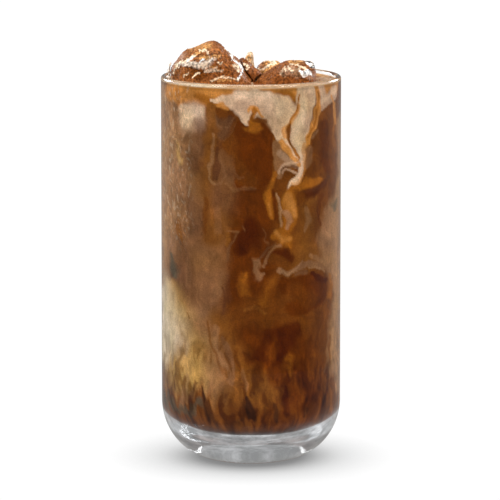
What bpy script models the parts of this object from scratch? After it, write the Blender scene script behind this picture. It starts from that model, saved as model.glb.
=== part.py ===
"""An iced latte in a tall tumbler with a thick rounded base. Metres, +Z up, origin at the middle of
the foot. The front, as served, faces -Y. The drink stands just under the rim, and seven lumps of ice
float in it with their tops out."""

import math

import bmesh
import bpy
from mathutils import Euler, Vector

# Tumbler: clear pressed glass, turned about Z
RIM_HEIGHT = 0.155
OUTER_RADIUS = 0.036
WALL = 0.0022
HEEL_WIDTH = 0.022
HEEL_HEIGHT = 0.024
FLOOR_HEIGHT = 0.0125
BOWL_CORNER_WIDTH = 0.022
BOWL_CORNER_HEIGHT = 0.018
PUNT_RADIUS = 0.0112
PUNT_DEPTH = 0.0009
ROUND_SEGMENTS = 72
HEEL_STEPS = 12
CORNER_STEPS = 10
LIP_STEPS = 6
PUNT_STEPS = 4
WALL_RINGS = 6
ON_AXIS = 1e-7
SHARP_EDGE_DEGREES = 40

# Drink: fills the bowl to just under the lip
DRINK_DEPTH_UNDER_RIM = 0.0026
FIT_GAP = 0.0003
DRINK_SEGMENTS = 72

# Ice: lumps with melted edges, drawn as seen from the front. Each is (name, outline of width and
# height in millimetres, place of its middle from front to back, depth, pitch and yaw in degrees)
MM = 0.001
EDGE_MELT = 0.0012
EDGE_STEPS = 2
END_TAPER = 0.74
SHOULDER = 0.5
ICE_TOP_SPACE = 0.03
ICE_LUMPS = (
    (
        "ice_left",
        ((-32, 159), (-26.5, 164.8), (-17, 168.8), (-13, 168.2), (-4.5, 160.8), (1, 152), (-3, 142),
         (-20, 139), (-31, 145)),
        -0.004, 0.022, 4, 0,
    ),
    (
        "ice_right",
        ((1.5, 153.5), (12.5, 160.6), (16, 161.3), (25.2, 160.4), (25.8, 157), (26, 148), (18, 141),
         (6, 143)),
        -0.003, 0.020, 4, -4,
    ),
    (
        "ice_middle",
        ((-6, 159.5), (-3, 161.8), (-0.5, 159.5), (4.5, 155.2), (8, 150), (4, 143), (-6, 143)),
        0.005, 0.018, 0, 10,
    ),
    (
        "ice_shard",
        ((-4, 158.5), (-1.6, 162.6), (0, 163.4), (1.3, 161.5), (1.2, 157), (3, 152), (-5, 150)),
        0.0165, 0.0045, 0, -12,
    ),
    (
        "ice_back",
        ((1.5, 154), (3.5, 157.5), (6, 159), (9.5, 159), (16, 155), (16, 146), (8, 142), (3, 145)),
        0.020, 0.014, 0, -18,
    ),
    (
        "ice_rear",
        ((-23, 153), (-19, 160), (-9, 162), (-3, 157), (-3, 146), (-12, 141), (-21, 144)),
        0.018, 0.016, -6, 14,
    ),
    (
        "ice_edge",
        ((-33.4, 156), (-33.2, 160), (-31.8, 160.8), (-30, 158.5), (-29.5, 151), (-32.5, 150)),
        -0.003, 0.007, 0, 0,
    ),
)


def clear_scene():
    for old in list(bpy.data.objects):
        bpy.data.objects.remove(old, do_unlink=True)


def material(name, colour, roughness, alpha=1.0, transmission=0.0):
    made = bpy.data.materials.new(name)
    made.use_nodes = True
    shader = made.node_tree.nodes["Principled BSDF"]
    shader.inputs["Base Color"].default_value = (*colour, 1.0)
    shader.inputs["Roughness"].default_value = roughness
    shader.inputs["Metallic"].default_value = 0.0
    shader.inputs["Transmission Weight"].default_value = transmission
    shader.inputs["Alpha"].default_value = alpha
    made.diffuse_color = (*colour, alpha)
    return made


def quarter(centre, width, height, start, end, steps):
    """Points on a stretch of an ellipse in the (radius, height) plane, angles in degrees."""
    points = []
    for step in range(steps + 1):
        angle = math.radians(start + (end - start) * step / steps)
        points.append((centre[0] + width * math.cos(angle), centre[1] + height * math.sin(angle)))
    return points


def tumbler_profile():
    """From the middle of the underside, out round the heel, over the lip and down to the floor."""
    foot_radius = OUTER_RADIUS - HEEL_WIDTH
    inner_radius = OUTER_RADIUS - WALL
    punt = [
        (PUNT_RADIUS * step / PUNT_STEPS, PUNT_DEPTH * (1 - (step / PUNT_STEPS) ** 2))
        for step in range(PUNT_STEPS + 1)
    ]
    heel = quarter((foot_radius, HEEL_HEIGHT), HEEL_WIDTH, HEEL_HEIGHT, -90, 0, HEEL_STEPS)
    lip_radius = WALL / 2
    lip_centre = (OUTER_RADIUS - lip_radius, RIM_HEIGHT - lip_radius)
    lip = quarter(lip_centre, lip_radius, lip_radius, 0, 180, LIP_STEPS)
    corner_centre = (inner_radius - BOWL_CORNER_WIDTH, FLOOR_HEIGHT + BOWL_CORNER_HEIGHT)
    corner = quarter(corner_centre, BOWL_CORNER_WIDTH, BOWL_CORNER_HEIGHT, 0, -90, CORNER_STEPS)
    outside = wall_rings(OUTER_RADIUS, heel[-1][1], lip[0][1])
    inside = wall_rings(inner_radius, lip[-1][1], corner[0][1])
    return punt + heel + outside + lip + inside + corner + [(0.0, FLOOR_HEIGHT)]


def wall_rings(radius, start, end):
    return [
        (radius, start + (end - start) * ring / WALL_RINGS) for ring in range(1, WALL_RINGS)
    ]


def drink_profile(level):
    """The bowl's inside, drawn in by the gap, closed flat at a level."""
    inner_radius = OUTER_RADIUS - WALL - FIT_GAP
    floor = FLOOR_HEIGHT + FIT_GAP
    corner_width = BOWL_CORNER_WIDTH - FIT_GAP
    corner_height = BOWL_CORNER_HEIGHT
    corner_centre = (inner_radius - corner_width, floor + corner_height)
    corner = quarter(corner_centre, corner_width, corner_height, -90, 0, CORNER_STEPS)
    side = wall_rings(inner_radius, corner[-1][1], level)
    return [(0.0, floor)] + corner + side + [(inner_radius, level), (0.0, level)]


def turned(name, profile, segments):
    """A closed solid, turned about Z from a profile that starts and ends on the axis."""
    shape = bmesh.new()
    rings = []
    for radius, height in profile:
        if radius < ON_AXIS:
            rings.append([shape.verts.new((0.0, 0.0, height))])
            continue
        turn = [2 * math.pi * step / segments for step in range(segments)]
        rings.append(
            [shape.verts.new((radius * math.cos(a), radius * math.sin(a), height)) for a in turn]
        )
    for lower, upper in zip(rings, rings[1:]):
        for step in range(segments):
            ahead = (step + 1) % segments
            corners = [
                lower[step % len(lower)],
                lower[ahead % len(lower)],
                upper[ahead % len(upper)],
                upper[step % len(upper)],
            ]
            shape.faces.new(list(dict.fromkeys(corners)))
    bmesh.ops.recalc_face_normals(shape, faces=shape.faces)
    return finished(name, shape)


def finished(name, shape):
    mesh = bpy.data.meshes.new(name)
    shape.to_mesh(mesh)
    shape.free()
    mesh.shade_smooth()
    mesh.set_sharp_from_angle(angle=math.radians(SHARP_EDGE_DEGREES))
    made = bpy.data.objects.new(name, mesh)
    bpy.context.scene.collection.objects.link(made)
    return made


def ice_lump(name, outline, middle, depth, pitch, yaw):
    """A lump of ice: its outline at full size between two shoulders, and smaller at both ends."""
    points = [Vector((across * MM, 0.0, up * MM)) for across, up in outline]
    centre = sum(points, Vector()) / len(points)
    turn = Euler((math.radians(pitch), 0.0, math.radians(yaw))).to_matrix()
    shape = bmesh.new()
    sections = []
    for place, scale in ((-1, END_TAPER), (-SHOULDER, 1), (SHOULDER, 1), (1, END_TAPER)):
        back = Vector((0.0, place * depth / 2, 0.0))
        ring = [turn @ ((point - centre) * scale + back) for point in points]
        away = centre + Vector((0.0, middle, 0.0))
        sections.append([shape.verts.new(corner + away) for corner in ring])
    shape.faces.new(sections[0])
    shape.faces.new(reversed(sections[-1]))
    for front, rear in zip(sections, sections[1:]):
        for step in range(len(points)):
            ahead = (step + 1) % len(points)
            shape.faces.new((front[step], front[ahead], rear[ahead], rear[step]))
    bmesh.ops.recalc_face_normals(shape, faces=shape.faces)
    made = finished(name, shape)
    melt = made.modifiers.new("melted_edges", "BEVEL")
    melt.width = EDGE_MELT
    melt.segments = EDGE_STEPS
    melt.limit_method = "NONE"
    return made


def hidden_cutter(name, source):
    """A helper of the same shape, a fit gap larger all round."""
    cutter = source.copy()
    cutter.name = name
    bpy.context.scene.collection.objects.link(cutter)
    grow = cutter.modifiers.new("fit_gap", "DISPLACE")
    grow.strength = FIT_GAP
    grow.mid_level = 0.0
    as_helper(cutter)
    return cutter


def as_helper(shape):
    shape.hide_render = True
    shape.display_type = "WIRE"


def combine(body, other, operation):
    """Cuts body by the other shape, or keeps what lies inside it. EXACT leaves open edges on the
    thin shard here, so the solver is MANIFOLD."""
    step = body.modifiers.new(other.name, "BOOLEAN")
    step.operation = operation
    step.solver = "MANIFOLD"
    step.object = other


def main():
    clear_scene()
    glass = material("clear_glass", (0.93, 0.95, 0.95), 0.03, alpha=0.35, transmission=1.0)
    latte = material("latte", (0.26, 0.13, 0.05), 0.25)
    ice = material("cocoa_dusted_ice", (0.62, 0.42, 0.27), 0.35, alpha=0.9)

    tumbler = turned("tumbler", tumbler_profile(), ROUND_SEGMENTS)
    tumbler.data.materials.append(glass)

    bowl_space = turned("bowl_space", drink_profile(RIM_HEIGHT + ICE_TOP_SPACE), DRINK_SEGMENTS)
    as_helper(bowl_space)
    drink = turned("latte", drink_profile(RIM_HEIGHT - DRINK_DEPTH_UNDER_RIM), DRINK_SEGMENTS)
    drink.data.materials.append(latte)

    cutters = []
    for lump in ICE_LUMPS:
        block = ice_lump(*lump)
        block.data.materials.append(ice)
        cutter = hidden_cutter(f"hollow_{block.name}", block)
        for earlier in cutters:
            combine(block, earlier, "DIFFERENCE")
        combine(block, bowl_space, "INTERSECT")
        cutters.append(cutter)
        combine(drink, cutter, "DIFFERENCE")


main()
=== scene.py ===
"""The looks of an iced latte: a clear tumbler with a thick base, coffee with milk sinking through it,
melting ice dusted with cocoa, and the foam and mist round them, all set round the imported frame."""

import itertools
import math

import bpy
import numpy as np
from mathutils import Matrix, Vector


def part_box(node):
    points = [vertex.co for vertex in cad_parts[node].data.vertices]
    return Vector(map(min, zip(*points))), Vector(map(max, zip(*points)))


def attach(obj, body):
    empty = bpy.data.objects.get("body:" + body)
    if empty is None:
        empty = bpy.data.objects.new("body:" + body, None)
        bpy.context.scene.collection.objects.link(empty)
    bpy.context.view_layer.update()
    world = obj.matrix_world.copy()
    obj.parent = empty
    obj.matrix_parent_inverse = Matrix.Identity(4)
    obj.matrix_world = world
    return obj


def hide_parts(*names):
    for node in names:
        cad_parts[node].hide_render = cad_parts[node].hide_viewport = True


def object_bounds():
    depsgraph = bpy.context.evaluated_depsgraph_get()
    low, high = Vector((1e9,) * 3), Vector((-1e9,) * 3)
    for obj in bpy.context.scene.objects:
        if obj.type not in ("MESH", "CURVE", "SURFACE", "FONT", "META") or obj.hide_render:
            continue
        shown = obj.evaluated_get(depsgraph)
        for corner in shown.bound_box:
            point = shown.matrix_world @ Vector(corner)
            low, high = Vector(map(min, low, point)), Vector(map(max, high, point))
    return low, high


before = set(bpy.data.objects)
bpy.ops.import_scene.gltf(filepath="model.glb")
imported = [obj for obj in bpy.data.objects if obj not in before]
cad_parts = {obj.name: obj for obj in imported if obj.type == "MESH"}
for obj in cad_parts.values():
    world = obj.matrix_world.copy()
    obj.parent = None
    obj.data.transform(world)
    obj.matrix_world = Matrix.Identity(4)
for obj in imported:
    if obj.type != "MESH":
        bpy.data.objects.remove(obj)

cad_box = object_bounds()


# Camera
# The glass is seen from arm's length through a long lens, from a little above the rim, with its
# middle just above the middle of the picture.
CAMERA_DISTANCE = 1.5
CAMERA_PITCH = math.radians(8.88)
CAMERA_AIM_HEIGHT = 0.0843
CAMERA_ACROSS = -0.0004
LENS_MM = 268.5
SENSOR_MM = 36.0

camera_back = CAMERA_DISTANCE * math.cos(CAMERA_PITCH)
camera_height = CAMERA_AIM_HEIGHT + CAMERA_DISTANCE * math.sin(CAMERA_PITCH)
bpy.ops.object.camera_add(
    location=(CAMERA_ACROSS, -camera_back, camera_height),
    rotation=(math.pi / 2 - CAMERA_PITCH, 0.0, 0.0),
)
camera = bpy.context.object
camera.data.lens = LENS_MM
camera.data.sensor_width = SENSOR_MM
bpy.context.scene.camera = camera


# Tumbler
# One piece of clear pressed glass: a straight wall with a fire-polished lip, and a thick base that
# rounds in to a small foot with a shallow hollow under it. It is turned in fine steps.
tumbler_low, tumbler_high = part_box("tumbler")
OUTER_RADIUS = tumbler_high.x
RIM_HEIGHT = tumbler_high.z
WALL = 0.0022
HEEL_WIDTH = 0.022
HEEL_HEIGHT = 0.024
FLOOR_HEIGHT = 0.0125
BOWL_CORNER_WIDTH = 0.022
BOWL_CORNER_HEIGHT = 0.018
PUNT_RADIUS = 0.0112
PUNT_DEPTH = 0.0009
GLASS_TURN_STEPS = 240
PUNT_POINTS = 9
HEEL_STEPS = 48
WALL_POINTS = 40
LIP_STEPS = 16
CORNER_STEPS = 32
SAME_PLACE = 2e-6
GLASS_TINT = (0.985, 0.992, 0.99)
GLASS_IOR = 1.5


def deselect_all():
    if bpy.context.mode != "OBJECT":
        bpy.ops.object.mode_set(mode="OBJECT")
    bpy.ops.object.select_all(action="DESELECT")


def arc_points(centre, width, height, start, end, steps):
    """Points along an ellipse in the (radius, height) plane, angles in degrees."""
    angles = np.radians(np.linspace(start, end, steps + 1))
    return [(centre[0] + width * math.cos(a), centre[1] + height * math.sin(a)) for a in angles]


def draw_profile(name, points):
    """A line of edges through (radius, height) points, drawn by extruding one vertex."""
    deselect_all()
    bpy.ops.mesh.primitive_plane_add(size=0.001, location=(0, 0, 0))
    line = bpy.context.object
    line.name = name
    line.data.name = name
    bpy.ops.object.mode_set(mode="EDIT")
    bpy.ops.mesh.merge(type="CENTER")
    place = (0.0, 0.0)
    for step, (radius, height) in enumerate(points):
        move = (radius - place[0], 0.0, height - place[1])
        if step == 0:
            bpy.ops.transform.translate(value=move)
        else:
            bpy.ops.mesh.extrude_region_move(TRANSFORM_OT_translate={"value": move})
        place = (radius, height)
    return line


def spin_closed(stretches):
    """Spins the profile in edit mode round Z, through (angle, steps) stretches, and closes it."""
    bpy.ops.mesh.select_all(action="SELECT")
    for angle, steps in stretches:
        bpy.ops.mesh.spin(steps=steps, angle=angle, center=(0, 0, 0), axis=(0, 0, 1))
    bpy.ops.mesh.select_all(action="SELECT")
    bpy.ops.mesh.remove_doubles(threshold=SAME_PLACE)
    bpy.ops.mesh.normals_make_consistent(inside=False)
    bpy.ops.object.mode_set(mode="OBJECT")
    bpy.ops.object.shade_smooth()


def start_material(name):
    """A new material, its nodes, its links and the shader that it starts with."""
    made = bpy.data.materials.new(name)
    made.use_nodes = True
    nodes = made.node_tree.nodes
    return made, nodes, made.node_tree.links, nodes["Principled BSDF"]


def set_sockets(node, values):
    for socket, value in values.items():
        node.inputs[socket].default_value = value


def add_node(nodes, kind, values=None, **settings):
    """A new shader node with its settings, and with values on its sockets."""
    node = nodes.new("ShaderNode" + kind)
    for setting, value in settings.items():
        setattr(node, setting, value)
    set_sockets(node, values or {})
    return node


def mixed(nodes, links, share, first, second):
    """Two shaders mixed, the second one by the share."""
    both = add_node(nodes, "MixShader")
    for socket, source in enumerate((share, first, second)):
        links.new(source, both.inputs[socket])
    return both.outputs[0]


def either_ray(nodes, links, *kinds):
    """One for rays of two kinds, and nought for others."""
    light_path = add_node(nodes, "LightPath")
    either = add_node(nodes, "Math", operation="MAXIMUM")
    for socket, kind in enumerate(kinds):
        links.new(light_path.outputs[kind], either.inputs[socket])
    return either.outputs[0]


def lets_light_by(nodes, links, surface):
    """A clear surface that isn't there for shadow and diffuse rays, so that light gets by it."""
    passing = either_ray(nodes, links, "Is Shadow Ray", "Is Diffuse Ray")
    return mixed(nodes, links, passing, surface, add_node(nodes, "BsdfTransparent").outputs[0])


inner_radius = OUTER_RADIUS - WALL
lip_radius = WALL / 2
lip_centre = (OUTER_RADIUS - lip_radius, RIM_HEIGHT - lip_radius)
foot_radius = OUTER_RADIUS - HEEL_WIDTH
corner_centre = (inner_radius - BOWL_CORNER_WIDTH, FLOOR_HEIGHT + BOWL_CORNER_HEIGHT)
tumbler_profile = (
    [(PUNT_RADIUS * s, PUNT_DEPTH * (1 - s * s)) for s in np.linspace(0, 1, PUNT_POINTS)]
    + arc_points((foot_radius, HEEL_HEIGHT), HEEL_WIDTH, HEEL_HEIGHT, -90, 0, HEEL_STEPS)
    + [(OUTER_RADIUS, height) for height in np.linspace(HEEL_HEIGHT, RIM_HEIGHT, WALL_POINTS)[1:-1]]
    + arc_points(lip_centre, lip_radius, lip_radius, 0, 180, LIP_STEPS)
    + [(inner_radius, height) for height in np.linspace(RIM_HEIGHT, corner_centre[1], WALL_POINTS)[1:-1]]
    + arc_points(corner_centre, BOWL_CORNER_WIDTH, BOWL_CORNER_HEIGHT, 0, -90, CORNER_STEPS)
    + [(0.0, FLOOR_HEIGHT)]
)
glass = draw_profile("glass", tumbler_profile)
spin_closed([(2 * math.pi, GLASS_TURN_STEPS)])

clear_glass, nodes, links, pane = start_material("clear_glass")
set_sockets(pane, {
    "Base Color": (*GLASS_TINT, 1.0), "Roughness": 0.0, "IOR": GLASS_IOR, "Transmission Weight": 1.0,
})
links.new(lets_light_by(nodes, links, pane.outputs[0]), nodes["Material Output"].inputs["Surface"])
glass.data.materials.append(clear_glass)
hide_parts("tumbler")
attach(glass, "root")


# Ice
# Seven lumps of clear ice, melting: glassy and dented, with soft ridges, standing up out of the drink.
# They start from the imported lumps and keep their outline. Cocoa powder shaken over them, wet coffee
# and frost are painted on in patches, placed as they show from the front, and so are painted highlights.
MM = 0.001
ICE_VOXEL = 0.0003
ICE_SHRINK = 0.25
DENTS = ((6.5, 0.95), (2.8, 0.45))
RIPPLES = ((1.4, 0.12), (0.7, 0.06))
ICE_LUMPS = ("left", "right", "middle", "shard", "back", "rear", "edge")
SEEN_TO_REAL = 1.004
SEEN_TOP = 149.6
RAGGED = ((2.2, 0.45), (0.9, 0.45), (0.45, 0.3))
SPECKS = ((1.6, 0.14), (0.8, 0.24), (0.4, 0.2))
DENT_RIM = 0.9
DENT_LEVEL = 0.55
TOP_SPACE = 0.15
LOOSE = 1e-6
ICE_TINT = (0.97, 0.96, 0.94)
ICE_IOR = 1.31
ICE_CLOUDS = {
    "Scale": 260.0, "Detail": 4.0, "From Min": 0.45, "From Max": 0.75, "To Min": 0.02, "To Max": 0.30,
}
POWDER_GRAIN = {
    "Scale": 1150.0, "Detail": 3.0, "From Min": 0.34, "From Max": 0.66, "To Min": 0.4, "To Max": 1.6,
}
POWDER_RELIEF = {"Strength": 0.8, "Distance": 0.0002}
POWDER_SHEEN = {"Roughness": 0.42, "Specular IOR Level": 0.14}
POWDER_EDGE = {"From Min": 0.85, "From Max": 1.25}

# Each tone: its colour as a screen shows it, and how much of the clear ice it hides
ICE_TONES = {
    "clear": ((230, 218, 202), 0.1),
    "haze": ((216, 192, 168), 0.7),
    "frost": ((226, 208, 190), 0.95),
    # Painted highlight: white glints on the wet ice
    "painted_glint": ((255, 252, 248), 1.0),
    # A pale cream, and in a few swirls a painted highlight
    "cream": ((244, 218, 184), 1.0),
    "tea": ((222, 184, 138), 0.85),
    "honey": ((208, 152, 90), 1.0),
    "wet_cocoa": ((154, 94, 48), 1.0),
    "cocoa": ((138, 80, 36), 1.0),
    "dark_cocoa": ((104, 50, 4), 1.0),
    "umber": ((104, 54, 8), 1.0),
    "rose": ((170, 128, 98), 1.0),
    "smoke": ((148, 112, 80), 1.0),
}
ICE_GROUND = {
    "left": "wet_cocoa", "right": "cocoa", "middle": "cocoa", "shard": "tea", "back": "honey",
    "rear": "cocoa", "edge": "haze",
}
# Each swirl: tone, softness of its edge, strength, and (across, down, half width) spots in mm as seen
# from the front, down from the drink's edge
ICE_SWIRLS = {
    "left": (
        ("rose", 1.8, 0.5, ((-30, -11, 1.6), (-26.6, -12.4, 1.6))),
        ("honey", 1.6, 0.6, ((-24, -16.4, 1.2), (-20, -17.4, 1.6), (-17, -17.4, 1.4))),
        ("dark_cocoa", 0.8, 0.8, (
            (-32.4, -11.4, 0.5), (-28, -15, 0.5), (-24, -18, 0.5), (-20, -19.6, 0.5),
        )),
        # Painted highlight along the ridge
        ("cream", 0.5, 0.95, (
            (-30, -9.4, 0.4), (-27, -10.8, 0.45), (-25, -11.6, 0.5), (-22, -13.8, 0.45),
        )),
        ("honey", 0.5, 0.9, (
            (-22, -13.8, 0.6), (-20, -14.8, 0.5), (-18.6, -16, 0.45), (-16, -17.2, 0.4),
        )),
        ("honey", 0.8, 0.85, ((-20, -12.4, 0.9), (-17, -12.4, 0.9), (-15, -11.6, 0.8))),
        ("cream", 0.5, 0.9, (
            (-20.4, -15, 0.3), (-18.4, -15.4, 0.4), (-17, -14.6, 0.4), (-16.4, -12.8, 0.35),
        )),
        ("dark_cocoa", 0.6, 0.85, ((-21, -13.4, 0.4), (-19.4, -14.2, 0.35))),
        ("dark_cocoa", 0.6, 0.8, ((-18, -13.4, 0.4), (-15.6, -13.6, 0.4), (-14, -14, 0.3))),
        ("frost", 0.7, 0.95, (
            (-28.6, -9.4, 0.6), (-25, -10, 1.1), (-22.6, -9.4, 1.4), (-20, -8.6, 1.4), (-18, -9.6, 1.5),
            (-16, -11, 1.3), (-14.6, -11.6, 0.8),
        )),
        ("painted_glint", 0.5, 1.0, ((-25.6, -11.2, 0.3), (-22.6, -12.8, 0.35))),
        ("painted_glint", 0.5, 1.0, ((-20.6, -10.4, 0.35), (-19, -11.6, 0.35))),
        ("painted_glint", 0.5, 1.0, ((-16.6, -10.6, 0.3), (-14.8, -11.6, 0.35))),
        ("umber", 0.5, 0.95, (
            (-30.6, -6.4, 1.6), (-28, -7.4, 1.9), (-24, -6.4, 2.4), (-20, -5.4, 2.4), (-17, -5.4, 1.6),
        )),
        ("wet_cocoa", 1.2, 0.7, ((-30.6, -6.6, 1.2), (-27.6, -7.4, 1.4), (-25, -6.6, 1.2))),
        # Painted highlights: small glints on the lower facet and at the left
        ("cream", 0.5, 0.95, ((-26.6, -5, 0.3), (-25, -6.2, 0.35))),
        ("cream", 0.5, 0.95, ((-23.6, -4.4, 0.35), (-21.6, -5.6, 0.45), (-20.8, -5.6, 0.35))),
        ("cream", 0.5, 0.9, ((-31.6, -6.4, 0.25), (-30.8, -8.2, 0.3), (-29, -9.2, 0.3))),
        ("cocoa", 1.0, 0.9, (
            (-14, -8, 3), (-10, -10, 3.4), (-8, -13, 2.6), (-10, -16, 2.2), (-13, -18, 1.8),
        )),
        ("cocoa", 0.8, 0.9, ((-18, -3.6, 1.4), (-12, -4.4, 1.8), (-7, -6, 2))),
        ("honey", 0.8, 0.7, ((-15, -13, 0.7), (-13.4, -12.2, 0.6), (-12, -13, 0.5))),
        ("cream", 0.6, 0.75, ((-13.6, -10.4, 0.35), (-12, -9.4, 0.35), (-11.6, -10.6, 0.3))),
        ("honey", 0.6, 0.7, ((-16.4, -9, 0.4), (-14.4, -8.4, 0.4), (-13, -7.4, 0.35))),
        ("haze", 0.7, 0.85, ((-18.6, -6.8, 0.35), (-15, -7, 0.5), (-11.4, -7, 0.35))),
        ("frost", 0.7, 0.5, ((-16.8, -7.8, 0.5), (-14, -8, 0.4))),
        ("dark_cocoa", 0.8, 0.7, (
            (-18, -19.8, 0.5), (-14, -19.4, 0.5), (-10.6, -17, 0.5), (-9, -15.6, 0.4),
        )),
        ("dark_cocoa", 0.6, 0.9, ((-9, -17.2, 0.5), (-7.6, -16.6, 0.4))),
        ("cream", 0.7, 0.9, ((-9.6, -16, 0.6), (-8.6, -15, 0.7), (-7.4, -13.6, 0.7))),
        ("cream", 0.8, 0.85, ((-6.8, -9.4, 0.7), (-5.4, -8.4, 0.9), (-5, -7.4, 0.7))),
        ("dark_cocoa", 0.6, 0.7, ((-6, -8.4, 0.3), (-6.2, -7, 0.3), (-4.6, -6.6, 0.3))),
        ("painted_glint", 0.4, 1.0, (
            (-8.8, -15.2, 0.35), (-7.6, -13.6, 0.45), (-7.4, -11.8, 0.45), (-5.6, -10.6, 0.4),
            (-4.2, -9.2, 0.4), (-3.2, -8, 0.4), (-4, -6, 0.4), (-5.4, -3.8, 0.45),
        )),
        ("cream", 0.6, 0.85, (
            (-16, -3, 0.4), (-12.6, -4.4, 0.35), (-9.4, -4.6, 0.35), (-5.4, -3.4, 0.3),
        )),
        ("honey", 0.7, 0.8, ((-13, -3, 0.5), (-10, -3.6, 0.4), (-8, -3, 0.4))),
    ),
    "right": (
        ("dark_cocoa", 0.8, 0.85, (
            (6, -9.6, 0.4), (9, -11.4, 0.5), (12, -12.6, 0.6), (15, -12.6, 0.5),
        )),
        ("honey", 1.0, 0.75, ((15.6, -11.4, 1), (18, -11, 1.2), (20, -11.2, 1))),
        ("dark_cocoa", 0.6, 0.6, ((16.4, -11.6, 0.3), (17.4, -10.4, 0.3))),
        ("cream", 0.7, 0.7, ((19.6, -11.8, 0.5), (21, -11.4, 0.5))),
        ("clear", 0.5, 1.0, ((22.6, -11.6, 1.2), (24.4, -11, 1.6), (24.6, -9.2, 1.2))),
        ("smoke", 0.6, 0.7, ((23.2, -12, 0.25), (24.6, -10.6, 0.3), (24.8, -9.4, 0.25))),
        ("painted_glint", 0.6, 0.9, ((22.4, -10.4, 0.4), (24.2, -9.6, 0.5))),
        ("rose", 0.6, 0.95, ((13, -6.4, 1.6), (15.4, -7.4, 1.8), (18, -6.4, 1.8), (18.6, -4.8, 1))),
        ("smoke", 0.6, 0.85, ((18, -7, 0.9), (18.4, -5.4, 1.1))),
        ("smoke", 0.6, 0.7, ((12.4, -6, 0.8), (13, -5.2, 0.7))),
        ("cream", 0.5, 0.8, ((13.2, -8.8, 0.3), (14.4, -7, 0.3))),
        ("cream", 0.5, 0.8, ((15, -9, 0.3), (15.6, -7.4, 0.4), (16.6, -6.6, 0.3))),
        ("cream", 0.5, 0.6, ((12, -5.8, 0.25), (12.8, -8, 0.25))),
        ("cream", 0.5, 0.9, ((16, -9.8, 0.35), (18.6, -9.4, 0.35), (20.6, -8.8, 0.4), (22, -8, 0.4))),
        ("cocoa", 0.5, 0.95, ((19.6, -9.8, 0.4), (22, -9.2, 0.4), (23.4, -7.8, 0.4), (24, -6.6, 0.35))),
        # Painted highlight: a bright patch on the wet face, cream at its edge and white in its core
        ("cream", 0.5, 0.95, ((19.6, -7.8, 0.5), (20.2, -6, 0.5), (21, -4.8, 0.4))),
        ("painted_glint", 0.35, 1.0, ((20, -7, 0.5), (20.8, -5.6, 0.7), (22.2, -6.8, 1.1), (23.4, -6.2, 0.8))),
        ("painted_glint", 0.35, 1.0, ((22.2, -5.6, 0.9), (21.4, -5, 0.6))),
        ("rose", 0.5, 0.9, ((22.6, -4.2, 0.6), (24, -4.2, 0.7))),
        ("dark_cocoa", 0.5, 0.8, ((18.8, -4.4, 0.4), (20.6, -4.2, 0.4))),
    ),
    "middle": (
        ("dark_cocoa", 0.8, 0.5, ((-4.8, -11.6, 0.5), (-2.6, -11.4, 0.6), (-0.4, -10, 0.5))),
        ("honey", 0.7, 0.8, ((-5.6, -13.4, 0.6), (-4, -13.8, 0.5), (-2.4, -13, 0.5))),
        ("painted_glint", 0.6, 0.9, ((-3, -13.8, 0.3), (-2, -12.6, 0.4))),
        ("cream", 0.6, 0.85, ((-1.6, -11.8, 0.3), (0, -10.8, 0.3))),
        ("cream", 0.6, 0.95, (
            (-3.6, -9.2, 0.6), (-2.2, -9.8, 0.5), (-1, -8.8, 0.4), (-2.4, -7.6, 0.5),
        )),
        ("umber", 0.5, 0.9, ((-2.4, -9, 0.35), (-2, -8.6, 0.35))),
        ("cream", 0.5, 0.85, ((0.4, -10.4, 0.4), (2, -9, 0.4), (3.4, -8, 0.4))),
    ),
    "shard": (
        ("cream", 0.8, 0.9, ((-3, -13, 0.6), (-1.4, -14.6, 0.5), (0, -13, 0.5))),
        ("honey", 0.6, 0.8, ((-1.8, -12.4, 0.3), (-0.4, -13.8, 0.25), (-0.4, -11.4, 0.3))),
        ("cocoa", 0.6, 0.85, (
            (-2.6, -15.6, 0.3), (-0.6, -16.2, 0.4), (0.6, -15.6, 0.4), (1.2, -13.6, 0.3),
        )),
        ("painted_glint", 0.5, 0.9, ((-3.2, -13.6, 0.35), (-2.2, -12.4, 0.4))),
    ),
    "back": (
        ("cream", 0.7, 0.95, ((5, -11.4, 0.4), (7.6, -11.8, 0.7), (9.4, -10.6, 0.8), (8.4, -9.6, 0.6))),
        ("dark_cocoa", 0.8, 0.75, ((4, -10.4, 0.6), (6, -10, 0.6), (7.4, -9.6, 0.4))),
        ("cocoa", 0.9, 0.8, ((2.4, -8.6, 0.8), (5, -8.8, 0.8))),
        # Painted highlight along the lump's lower edge
        ("cream", 0.4, 1.0, ((2.6, -7.4, 0.4), (4.6, -7.6, 0.4), (6.6, -8.8, 0.4), (8.4, -10.2, 0.35))),
    ),
    "rear": (
        ("frost", 1.0, 0.7, ((-20, -11, 1.6), (-14, -12.6, 1.8), (-8, -11, 1.4))),
        ("honey", 0.8, 0.7, ((-18, -8, 1), (-12, -9, 1.2), (-6, -7, 1))),
    ),
    "edge": (
        ("frost", 0.8, 0.9, ((-33, -11.6, 0.8), (-32.6, -7, 0.9))),
        ("painted_glint", 0.6, 0.9, ((-33.6, -10.6, 0.5), (-33, -8, 0.5))),
        ("cocoa", 0.5, 0.4, ((-33.4, -6.2, 0.3), (-32, -6, 0.3))),
    ),
}


def linear(colour):
    """Linear light from a colour as a screen shows it, 0 to 255."""
    share = np.asarray(colour, float) / 255
    return np.where(share <= 0.04045, share / 12.92, ((share + 0.055) / 1.055) ** 2.4)


def drift(places, grain, seed):
    """Smooth noise from -1 to 1 at each place, with bumps of about the grain's size."""
    lattice = np.random.default_rng(seed).uniform(-1, 1, (32, 32, 32))
    cell = places / np.asarray(grain)
    corner = np.floor(cell).astype(int)
    share = cell - corner
    share = share * share * (3 - 2 * share)
    total = np.zeros(len(places))
    for side in itertools.product((0, 1), repeat=3):
        weight = np.prod(np.where(side, share, 1 - share), axis=1)
        total += weight * lattice[tuple(((corner + side) % 32).T)]
    return total


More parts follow.
